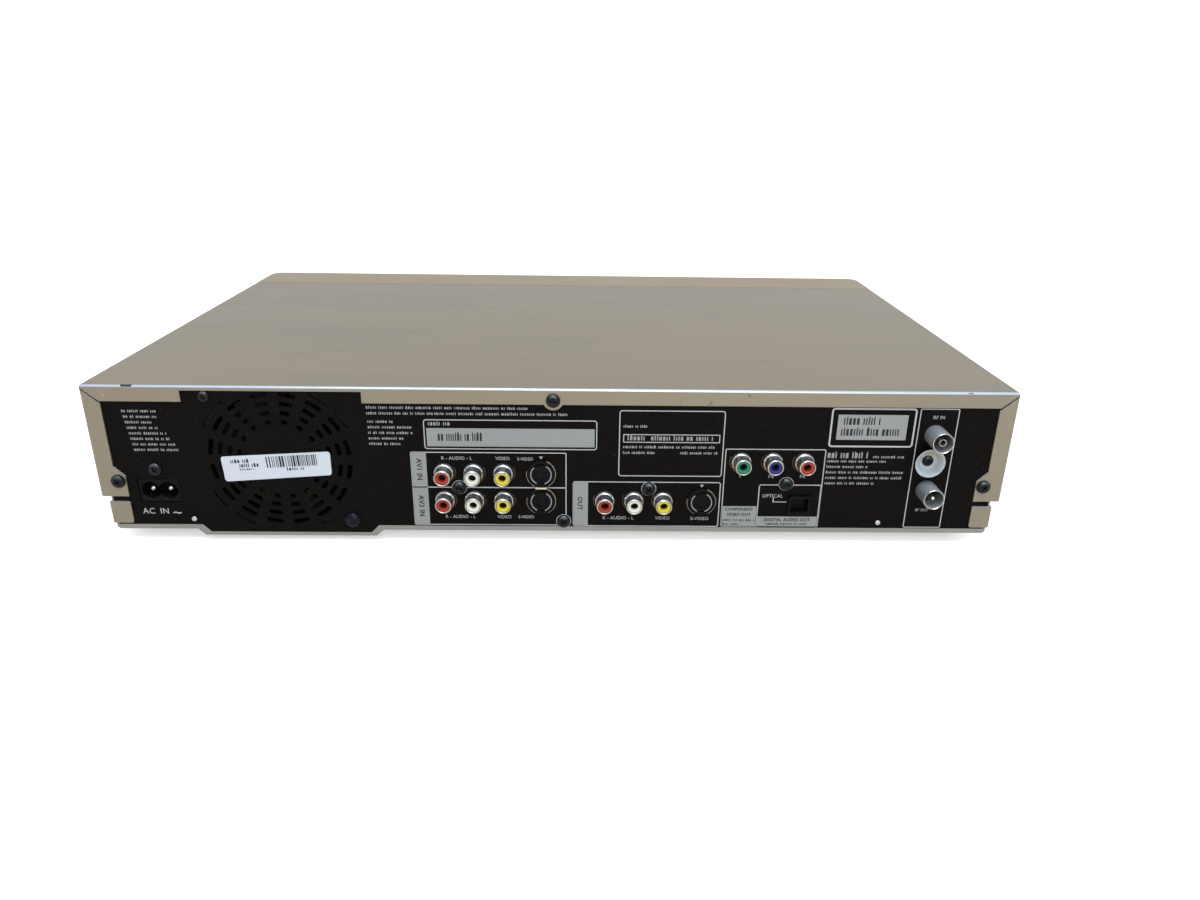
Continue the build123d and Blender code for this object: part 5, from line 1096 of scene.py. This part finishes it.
class RECORDER_OT_fan(bpy.types.Operator):
    """Spins a hub and sweeps seven curved blades for the fan's rotor"""
    bl_idname = "recorder.fan"
    bl_label = "Fan rotor"

    def execute(self, context):
        (x0, y0, z0), (x1, y1, z1) = box("fan_rotor")
        centre = Vector(((x0 + x1) / 2, 0, (z0 + z1) / 2))
        hub = turned(centre, [
            (0.0, y0 + 1.0), (13.5, y0 + 1.0), (14.5, y0 + 1.6), (14.5, y1 - 1.2),
            (13.8, y1 - 0.3), (11.0, y1), (0.0, y1), (0.0, y0 + 1.0),
        ], steps=64)
        count = 7
        blades = [fan_blade(centre, 2 * math.pi * i / count, y0, y1) for i in range(count)]
        wear("fan_blades", [hub, *blades], "black_plastic", "black_plastic", "fan_rotor",
             body="fan", smooth=40.0)
        return {"FINISHED"}


# Materials

def feed(tree, value, socket):
    """Gives an input a number, a vector, a colour or the output that drives it."""
    if isinstance(value, bpy.types.NodeSocket):
        tree.links.new(value, socket)
    elif socket.type == "RGBA":
        socket.default_value = (*value, 1.0)
    else:
        socket.default_value = value


def feed_all(tree, node, **inputs):
    """Feeds several inputs of a node by name."""
    for key, value in inputs.items():
        feed(tree, value, node.inputs[key.replace("_", " ")])


def put(tree, kind, settings=None, **inputs):
    """Adds one node with its settings, and feeds its inputs by name."""
    node = tree.nodes.new(kind)
    for key, value in (settings or {}).items():
        setattr(node, key, value)
    feed_all(tree, node, **inputs)
    return node


def maths(tree, operation, *values):
    """A math node on numbers and outputs. Gives its output."""
    node = put(tree, "ShaderNodeMath", {"operation": operation})
    for value, socket in zip(values, node.inputs):
        feed(tree, value, socket)
    return node.outputs[0]


def blend(tree, mask, first, second):
    """A mix of two colours by a mask. Gives the colour output."""
    mix = put(tree, "ShaderNodeMix", {"data_type": "RGBA"})
    for index, value in ((0, mask), (6, first), (7, second)):
        feed(tree, value, mix.inputs[index])
    return mix.outputs[2]


def overlay(tree, beneath, mask, colour, share=1.0):
    """Lays a colour over what is beneath, where a mask is, by a share. Gives the colour output."""
    return blend(tree, maths(tree, "MULTIPLY", mask, share), beneath, colour)


def ranged(tree, value, low, high, **ends):
    """Maps a range of a value to another one, 0 to 1 unless given. Gives the output."""
    return put(tree, "ShaderNodeMapRange", Value=value, From_Min=low, From_Max=high,
               **ends).outputs["Result"]


def object_place(tree):
    """The output with the surface's place on the object."""
    return put(tree, "ShaderNodeTexCoord").outputs["Object"]


def noise(tree, place, **inputs):
    """A noise texture at a place. Gives its output."""
    return put(tree, "ShaderNodeTexNoise", Vector=place, **inputs).outputs["Fac"]


def effect(name, outputs, **inputs):
    """An empty shared effect: its tree, its inputs' and its outputs' inner ends."""
    group = bpy.data.node_groups.new(name, "ShaderNodeTree")
    for label, value in inputs.items():
        socket = group.interface.new_socket(label, in_out="INPUT", socket_type="NodeSocketFloat")
        socket.default_value = value
    for label in outputs:
        group.interface.new_socket(label, in_out="OUTPUT", socket_type="NodeSocketFloat")
    GROUPS[name] = group
    return group, put(group, "NodeGroupInput").outputs, put(group, "NodeGroupOutput").inputs


def use_effect(tree, name, **inputs):
    """Places a shared effect in a material with its own values. Gives its outputs."""
    return put(tree, "ShaderNodeGroup", {"node_tree": GROUPS[name]}, **inputs).outputs


def speckle_effect():
    """Small scattered spots, as a mask."""
    group, given, result = effect("Speckle", ["Mask"], Scale=400.0, Threshold=0.7, Softness=0.03)
    spots = noise(group, object_place(group), Scale=given["Scale"], Detail=2.0)
    low, high = (maths(group, operation, given["Threshold"], given["Softness"])
                 for operation in ("SUBTRACT", "ADD"))
    feed(group, ranged(group, spots, low, high), result["Mask"])


def grain_effect():
    """Fine paint or moulding grain as a height, and a broad, slow tone."""
    group, given, result = effect("Grain", ["Height", "Tone"], Scale=2500.0)
    place = object_place(group)
    fine = noise(group, place, Scale=given["Scale"], Detail=3.0, Roughness=0.6)
    broad = noise(group, place, Scale=9.0, Detail=4.0, Roughness=0.55)
    feed(group, fine, result["Height"])
    feed(group, broad, result["Tone"])


def smears_effect():
    """Broad soft smears, drawn out in one direction, as a mask."""
    group, given, result = effect("Smears", ["Mask"], Scale=7.0, Low=0.5, High=0.75)
    place = put(group, "ShaderNodeMapping", Vector=object_place(group),
                Rotation=(0.0, 0.0, 0.5), Scale=(1.0, 3.2, 1.0)).outputs["Vector"]
    smears = noise(group, place, Scale=given["Scale"], Detail=5.0, Roughness=0.62,
                   Distortion=0.8)
    feed(group, ranged(group, smears, given["Low"], given["High"]), result["Mask"])


def scratches_effect():
    """Sparse hair scratches in two directions, as a mask."""
    group, given, result = effect("Scratches", ["Mask"], Threshold=0.72)
    masks = []
    for turn, scale in ((0.5, (45.0, 2200.0, 45.0)), (-1.1, (60.0, 1800.0, 60.0))):
        place = put(group, "ShaderNodeMapping", Vector=object_place(group),
                    Rotation=(0.0, 0.0, turn), Scale=scale).outputs["Vector"]
        hairs = noise(group, place, Scale=1.0, Detail=1.0, Distortion=0.3)
        masks.append(maths(group, "GREATER_THAN", hairs, given["Threshold"]))
    feed(group, maths(group, "MAXIMUM", *masks), result["Mask"])


def facing(tree, direction, low, high):
    """Where the surface faces a direction, from a low to a high cosine. Gives a mask."""
    dot = put(tree, "ShaderNodeVectorMath", {"operation": "DOT_PRODUCT"})
    feed(tree, put(tree, "ShaderNodeTexCoord").outputs["Normal"], dot.inputs[0])
    feed(tree, direction, dot.inputs[1])
    return ranged(tree, dot.outputs["Value"], low, high)


def painted_rear_glint(tree):
    """Where a highlight is painted on the cover's rear bend and upward cut edges. Gives a mask."""
    _, y, z = put(tree, "ShaderNodeSeparateXYZ", Vector=object_place(tree)).outputs
    low_edges = maths(tree, "MULTIPLY", facing(tree, UP, 0.3, 0.5),
                      maths(tree, "LESS_THAN", z, (TOP_Z - 3.0) * MM))
    either = maths(tree, "MAXIMUM", facing(tree, BEND, 0.80, 0.93), low_edges)
    return maths(tree, "MULTIPLY", either, maths(tree, "GREATER_THAN", y, (REAR_Y - 1.5) * MM))


def bend_chips(tree):
    """Where the paint is chipped along the cover's rear bend. Gives a mask."""
    place = object_place(tree)
    _, y, z = put(tree, "ShaderNodeSeparateXYZ", Vector=place).outputs
    corner = maths(tree, "MULTIPLY", maths(tree, "GREATER_THAN", y, (REAR_Y - 1.3) * MM),
                   maths(tree, "GREATER_THAN", z, (TOP_Z - 0.75) * MM))
    spots = maths(tree, "GREATER_THAN", noise(tree, place, Scale=85.0, Detail=2.0), 0.70)
    return maths(tree, "MULTIPLY", corner, spots)


def scaled(colour, share):
    """The same colour, darker or lighter."""
    return tuple(c * share for c in colour)


def new_material(name, **surface):
    """A node material with its surface shader's constant inputs, known by name."""
    material = bpy.data.materials.new(name)
    material.use_nodes = True
    tree = material.node_tree
    shader = tree.nodes["Principled BSDF"]
    feed_all(tree, shader, **surface)
    MATERIALS[name] = material
    return tree, shader


def surface_relief(tree, grain, strength):
    """A fine relief from the grain's height. Gives a normal."""
    return put(tree, "ShaderNodeBump", Strength=strength, Distance=0.0002,
               Height=grain["Height"]).outputs["Normal"]


def cover_paint(name, colour):
    """Satin metallic paint with smears, hair scratches, dark specks and chips on the bend."""
    tree, shader = new_material(name, Metallic=0.5, Specular_IOR_Level=0.4, Coat_Weight=0.45,
                                Coat_Roughness=0.14)
    grain = use_effect(tree, "Grain", Scale=2600.0)
    smears = use_effect(tree, "Smears", Scale=7.0, Low=0.5, High=0.78)["Mask"]
    scratches = use_effect(tree, "Scratches", Threshold=0.76)["Mask"]
    specks = use_effect(tree, "Speckle", Scale=230.0, Threshold=0.755)["Mask"]
    cool = tuple(c * share for c, share in zip(colour, (0.92, 0.98, 1.16)))
    look = blend(tree, grain["Tone"], scaled(colour, 1.05), scaled(colour, 0.93))
    look = overlay(tree, look, smears, cool, 0.65)
    look = overlay(tree, look, scratches, scaled(colour, 1.45), 0.5)
    look = overlay(tree, look, specks, scaled(colour, 0.45), 0.8)
    # A cool highlight painted along the rear bend and the upward cut edges
    look = overlay(tree, look, painted_rear_glint(tree), (0.36, 0.42, 0.50), 0.95)
    look = overlay(tree, look, bend_chips(tree), (0.02, 0.02, 0.022))
    feed_all(tree, shader, Base_Color=look, Normal=surface_relief(tree, grain, 0.05),
             Roughness=ranged(tree, smears, 0.0, 1.0, To_Min=0.36, To_Max=0.46))


def finish(name, colour, second, roughness, metallic=0.0, grain_scale=2500.0, relief=0.05,
           spread=0.08, specks=None, painted_reflections=(), **surface):
    """A painted, moulded or plated finish: two close tones, uneven gloss and fine grain.

    Specks have a scale, a threshold and a colour. Each painted reflection is a colour painted
    where the surface faces a direction, and the cosines where it starts and is full.
    """
    tree, shader = new_material(name, Metallic=metallic, **surface)
    grain = use_effect(tree, "Grain", Scale=grain_scale)
    look = blend(tree, grain["Tone"], colour, second)
    if specks:
        scale, threshold, dark = specks
        spots = use_effect(tree, "Speckle", Scale=scale, Threshold=threshold)["Mask"]
        look = blend(tree, spots, look, dark)
    # Colours painted where the surface faces a direction, as reflections of light
    for painted_sheen, direction, low, high in painted_reflections:
        look = overlay(tree, look, facing(tree, direction, low, high), painted_sheen)
    gloss = ranged(tree, grain["Tone"], 0.3, 0.7, To_Min=roughness - spread,
                   To_Max=roughness + spread)
    feed_all(tree, shader, Base_Color=look, Roughness=gloss,
             Normal=surface_relief(tree, grain, relief))


def brighten_to_camera(tree, strength):
    """Makes a surface glow for the camera alone, so that it lights nothing."""
    seen = put(tree, "ShaderNodeLightPath").outputs["Is Camera Ray"]
    feed_all(tree, tree.nodes["Principled BSDF"],
             Emission_Strength=maths(tree, "MULTIPLY", seen, strength))


# Two close colours, roughness, metallic, grain scale, relief, and spread of the gloss
FINISHES = {
    "zinc_steel": ((0.25, 0.24, 0.215), (0.21, 0.20, 0.18), 0.40, 0.8, 700.0, 0.04),
    "black_plastic": ((0.0035, 0.0035, 0.0038), (0.0028, 0.0028, 0.003), 0.5, 0.0, 2200.0, 0.08),
    "gloss_black": ((0.006, 0.006, 0.007), (0.005, 0.005, 0.006), 0.08, 0.0, 900.0, 0.0, 0.02),
    # Also the phono contacts' black: painted shade for the dark of their bores
    "hole_black": ((0.004, 0.004, 0.004), (0.003, 0.003, 0.003), 0.7, 0.0, 900.0, 0.02),
    "blue_black_plastic": ((0.003, 0.004, 0.007), (0.002, 0.003, 0.006), 0.3, 0.0, 900.0, 0.02),
    "foot_rubber": ((0.020, 0.020, 0.020), (0.014, 0.014, 0.014), 0.72, 0.0, 900.0, 0.2),
    "black_screw": ((0.008, 0.008, 0.008), (0.005, 0.005, 0.005), 0.30, 0.4, 1600.0, 0.05),
    "nickel": ((0.50, 0.49, 0.45), (0.40, 0.39, 0.35), 0.25, 0.97, 900.0, 0.03),
    "bright_nickel": ((0.66, 0.65, 0.60), (0.56, 0.55, 0.50), 0.22, 0.95, 900.0, 0.02),
    "dull_nickel": ((0.40, 0.415, 0.42), (0.30, 0.31, 0.315), 0.40, 0.8, 700.0, 0.06),
    # Pale brass of the S-video tab, also painted as highlights on the S-video rims
    "pale_brass_and_glint": ((0.52, 0.43, 0.29), (0.42, 0.34, 0.22), 0.34, 0.35, 900.0, 0.03),
    # Painted highlight on the arcs of the phono holes' edges
    "hole_edge_glint": ((0.24, 0.18, 0.10), (0.18, 0.13, 0.07), 0.38, 0.9, 900.0, 0.03),
    "rivet_metal": ((0.44, 0.45, 0.46), (0.36, 0.37, 0.38), 0.28, 0.8, 900.0, 0.03),
    "white_plastic": ((0.30, 0.345, 0.375), (0.26, 0.30, 0.33), 0.32, 0.0, 700.0, 0.03),
    "smoked_window": ((0.0045, 0.005, 0.006), (0.004, 0.0045, 0.0055), 0.08, 0.0, 500.0, 0.0,
                      0.02),
    "ghost_segments": ((0.014, 0.018, 0.018), (0.012, 0.015, 0.015), 0.25, 0.0, 500.0, 0.0,
                       0.02),
    "lamp_red": ((0.16, 0.006, 0.004), (0.12, 0.005, 0.003), 0.2, 0.0, 500.0, 0.0, 0.02),
    "green_board": ((0.015, 0.10, 0.035), (0.010, 0.07, 0.025), 0.34, 0.0, 700.0, 0.05),
    "brown_board": ((0.26, 0.17, 0.08), (0.21, 0.13, 0.06), 0.55, 0.0, 900.0, 0.05),
    "aluminium": ((0.62, 0.62, 0.62), (0.52, 0.52, 0.52), 0.36, 0.95, 900.0, 0.08),
    "steel": ((0.50, 0.50, 0.50), (0.42, 0.42, 0.42), 0.30, 0.95, 900.0, 0.04),
    "dark_plastic": ((0.030, 0.030, 0.032), (0.022, 0.022, 0.024), 0.45, 0.0, 1500.0, 0.10),
    "nylon": ((0.66, 0.64, 0.58), (0.58, 0.56, 0.50), 0.42, 0.0, 900.0, 0.04),
    "belt_rubber": ((0.012, 0.012, 0.012), (0.009, 0.009, 0.009), 0.60, 0.0, 900.0, 0.10),
    "transformer_tape": ((0.62, 0.50, 0.08), (0.52, 0.42, 0.06), 0.45, 0.0, 500.0, 0.05),
    "capacitor_sleeve": ((0.016, 0.022, 0.050), (0.012, 0.016, 0.038), 0.30, 0.0, 500.0, 0.02),
    "tinplate": ((0.56, 0.56, 0.54), (0.46, 0.46, 0.44), 0.28, 0.95, 600.0, 0.05),
    "dark_ink": ((0.02, 0.02, 0.02), (0.015, 0.015, 0.015), 0.55, 0.0, 2600.0, 0.05),
    "label_paper": ((0.385, 0.41, 0.445), (0.36, 0.385, 0.42), 0.55, 0.0, 1400.0, 0.04),
    "floor_paper": ((0.80, 0.80, 0.80), (0.79, 0.79, 0.79), 0.9, 0.0, 30.0, 0.0, 0.02),
}
# The two close colours of each phono insert
INSERT_COLOURS = {
    "red": ((0.27, 0.022, 0.008), (0.23, 0.018, 0.006)),
    "white": ((0.53, 0.53, 0.46), (0.46, 0.46, 0.40)),
    "yellow": ((0.50, 0.40, 0.018), (0.44, 0.35, 0.014)),
    "green": ((0.008, 0.15, 0.085), (0.007, 0.125, 0.07)),
    "blue": ((0.016, 0.016, 0.14), (0.012, 0.012, 0.115)),
}
# How strongly a dull finish mirrors, where it isn't the shader's usual half
SPECULAR = {
    "black_plastic": 0.06, "blue_black_plastic": 0.12, "black_screw": 0.22,
    "smoked_window": 0.35, "ghost_segments": 0.3, "dark_ink": 0.1,
}
# Reflections painted on the plated and moulded parts: colours standing for the cool light
# overhead and the warm floor that they would mirror
PAINTED_REFLECTIONS = {
    "black_screw": [((0.05, 0.068, 0.082), BACK_AND_UP, 0.87, 0.98)],
    "nickel": [((0.66, 0.70, 0.73), UP, 0.2, 0.85), ((0.38, 0.285, 0.16), DOWN, -0.3, 0.35)],
    "bright_nickel": [((0.85, 0.87, 0.88), UP, 0.2, 0.85),
                      ((0.42, 0.37, 0.28), DOWN, -0.3, 0.5)],
    "dull_nickel": [((0.56, 0.62, 0.66), UP, 0.2, 0.85)],
    "white_plastic": [((0.30, 0.285, 0.21), DOWN, -0.1, 0.5)],
}


class RECORDER_OT_finishes(bpy.types.Operator):
    """Makes every material and gives the CAD nodes theirs"""
    bl_idname = "recorder.finishes"
    bl_label = "Finishes"

    def execute(self, context):
        colours = context.scene.recorder_colours
        cover, panel, ink, moulding = (
            tuple(colour) for colour in (colours.cover, colours.panel, colours.ink,
                                         colours.moulding))
        for make_effect in (speckle_effect, grain_effect, smears_effect, scratches_effect):
            make_effect()
        for name, values in FINISHES.items():
            finish(name, *values, painted_reflections=PAINTED_REFLECTIONS.get(name, ()),
                   Specular_IOR_Level=SPECULAR.get(name, 0.5))
        for name, (colour, second) in INSERT_COLOURS.items():
            finish(f"{name}_insert", colour, second, 0.38, 0.0, 900.0, 0.04,
                   Specular_IOR_Level=0.25)
        cover_paint("silver_paint", cover)
        finish("silver_plastic", moulding, scaled(moulding, 0.95), 0.36, 0.35, 1800.0, 0.03)
        finish("key_plastic", scaled(moulding, 1.25), scaled(moulding, 1.15), 0.26, 0.6, 1800.0,
               0.02)
        finish("black_paint", panel, scaled(panel, 0.8), 0.5, 0.0, 1500.0, 0.12,
               Specular_IOR_Level=0.04, specks=(900.0, 0.745, (0.03, 0.027, 0.024)))
        for name, high, low, roughness in (
                ("ink", 1.0, 0.9, 0.55), ("fine_ink", 0.62, 0.54, 0.55),
                ("plate_ink", 0.60, 0.56, 0.50)):
            finish(name, scaled(ink, high), scaled(ink, low), roughness, 0.0, 2600.0, 0.05)
        cup = MATERIALS["white_plastic"].node_tree
        feed_all(cup, cup.nodes["Principled BSDF"], Subsurface_Weight=0.2,
                 Subsurface_Scale=0.001)
        floor = MATERIALS["floor_paper"].node_tree
        feed_all(floor, floor.nodes["Principled BSDF"], Emission_Color=(1.0, 1.0, 1.0))
        brighten_to_camera(floor, 0.45)
        for part in frame["record"]["subparts"]:
            for holder in frame["nodes"][part["node"]].material_slots:
                holder.material = MATERIALS[part["material_slot"]]
        return {"FINISHED"}


# Stage

# The camera was solved from the photograph: its place, its angles in radians and its lens
CAMERA_PLACE = (-0.013249, 0.512463, 0.203521)
CAMERA_YAW = -0.020811
CAMERA_PITCH = 0.383977
CAMERA_ROLL = -0.015151
CAMERA_LENS = 26.390


def area_light(name, place, target, size, power, colour=(1.0, 1.0, 1.0)):
    """A square soft light aimed at a point, in metres."""
    bpy.ops.object.light_add(type="AREA", location=place)
    light = bpy.context.object
    light.name = name
    light.data.size = size
    light.data.energy = power
    light.data.color = colour
    light.rotation_euler = (Vector(target) - Vector(place)).to_track_quat("-Z", "Y").to_euler()


def studio_world(settings):
    """White behind the object, and for light and reflections a sky dimmer near the floor."""
    world = bpy.data.worlds.new("studio")
    world.use_nodes = True
    tree = world.node_tree
    place = put(tree, "ShaderNodeTexCoord").outputs["Generated"]
    height = put(tree, "ShaderNodeSeparateXYZ", Vector=place).outputs["Z"]
    sky = ranged(tree, height, 0.0, 0.8, To_Min=settings.horizon, To_Max=settings.zenith)
    strength = put(tree, "ShaderNodeMix", {"data_type": "FLOAT"})
    seen = put(tree, "ShaderNodeLightPath").outputs["Is Camera Ray"]
    for index, value in ((0, seen), (2, sky), (3, settings.backdrop)):
        feed(tree, value, strength.inputs[index])
    feed_all(tree, tree.nodes["Background"], Color=(1.0, 1.0, 1.0),
             Strength=strength.outputs[0])
    return world


class RECORDER_OT_stage(bpy.types.Operator):
    """Lays the pale floor, hangs the lights and sets up the camera"""
    bl_idname = "recorder.stage"
    bl_label = "Stage"

    def execute(self, context):
        settings = context.scene.recorder_stage
        choose()
        bpy.ops.mesh.primitive_plane_add(size=8.0, location=(0, 0, 0))
        floor = bpy.context.object
        floor.name = "floor"
        floor.data.materials.append(MATERIALS["floor_paper"])
        area_light("top_light", (0.1, 0.75, 1.5), (0, 0.05, 0), 0.62, settings.top_light,
                   (0.80, 0.90, 1.0))
        area_light("rear_light", (-0.3, 1.45, 0.7), (0, 0.1, 0.04), 0.7, settings.rear_light)
        area_light("side_light", (-1.2, -0.2, 0.7), (0, 0, 0.04), 0.5, settings.side_light)
        context.scene.world = studio_world(settings)
        turn = (Matrix.Rotation(math.pi + CAMERA_YAW, 3, "Z")
                @ Matrix.Rotation(math.pi / 2 - CAMERA_PITCH, 3, "X")
                @ Matrix.Rotation(-CAMERA_ROLL, 3, "Z"))
        bpy.ops.object.camera_add(location=CAMERA_PLACE, rotation=turn.to_euler())
        camera = bpy.context.object
        camera.data.lens = CAMERA_LENS
        camera.data.sensor_width = 36.0
        camera.data.sensor_fit = "HORIZONTAL"
        camera.data.clip_start = 0.01
        context.scene.camera = camera
        context.scene.view_settings.view_transform = "Standard"
        return {"FINISHED"}


# Add-on

OPERATORS = (
    RECORDER_OT_finishes, RECORDER_OT_printing, RECORDER_OT_small_print, RECORDER_OT_markings,
    RECORDER_OT_phonos, RECORDER_OT_svideo, RECORDER_OT_aerials, RECORDER_OT_inlet,
    RECORDER_OT_screws, RECORDER_OT_cup, RECORDER_OT_rivets, RECORDER_OT_sticker,
    RECORDER_OT_fan, RECORDER_OT_keys, RECORDER_OT_front_marks, RECORDER_OT_display,
    RECORDER_OT_trims, RECORDER_OT_stage,
)


class RECORDER_PT_panel(bpy.types.Panel):
    """Lists the recorder's pieces and their settings"""
    bl_idname = "RECORDER_PT_panel"
    bl_label = "Recorder"
    bl_space_type = "VIEW_3D"
    bl_region_type = "UI"
    bl_category = "Recorder"

    def draw(self, context):
        layout = self.layout
        for settings in (context.scene.recorder_sizes, context.scene.recorder_colours,
                         context.scene.recorder_stage):
            column = layout.box()
            for key in settings.__annotations__:
                column.prop(settings, key)
        for operator in OPERATORS:
            layout.operator(operator.bl_idname)


CLASSES = (RecorderSizes, RecorderColours, RecorderStage, *OPERATORS, RECORDER_PT_panel)


def register():
    for cls in CLASSES:
        bpy.utils.register_class(cls)
    bpy.types.Scene.recorder_sizes = bpy.props.PointerProperty(type=RecorderSizes)
    bpy.types.Scene.recorder_colours = bpy.props.PointerProperty(type=RecorderColours)
    bpy.types.Scene.recorder_stage = bpy.props.PointerProperty(type=RecorderStage)


def unregister():
    del bpy.types.Scene.recorder_stage
    del bpy.types.Scene.recorder_colours
    del bpy.types.Scene.recorder_sizes
    for cls in reversed(CLASSES):
        bpy.utils.unregister_class(cls)


def main():
    register()
    choose()
    bpy.ops.recorder.finishes()
    bpy.ops.recorder.printing()
    bpy.ops.recorder.small_print()
    bpy.ops.recorder.markings()
    bpy.ops.recorder.phonos()
    bpy.ops.recorder.svideo()
    bpy.ops.recorder.aerials()
    bpy.ops.recorder.inlet()
    bpy.ops.recorder.screws()
    bpy.ops.recorder.cup()
    bpy.ops.recorder.rivets()
    bpy.ops.recorder.sticker()
    bpy.ops.recorder.fan()
    bpy.ops.recorder.keys()
    bpy.ops.recorder.front_marks()
    bpy.ops.recorder.display()
    bpy.ops.recorder.trims()
    bpy.ops.recorder.stage()


if __name__ == "__main__":
    main()
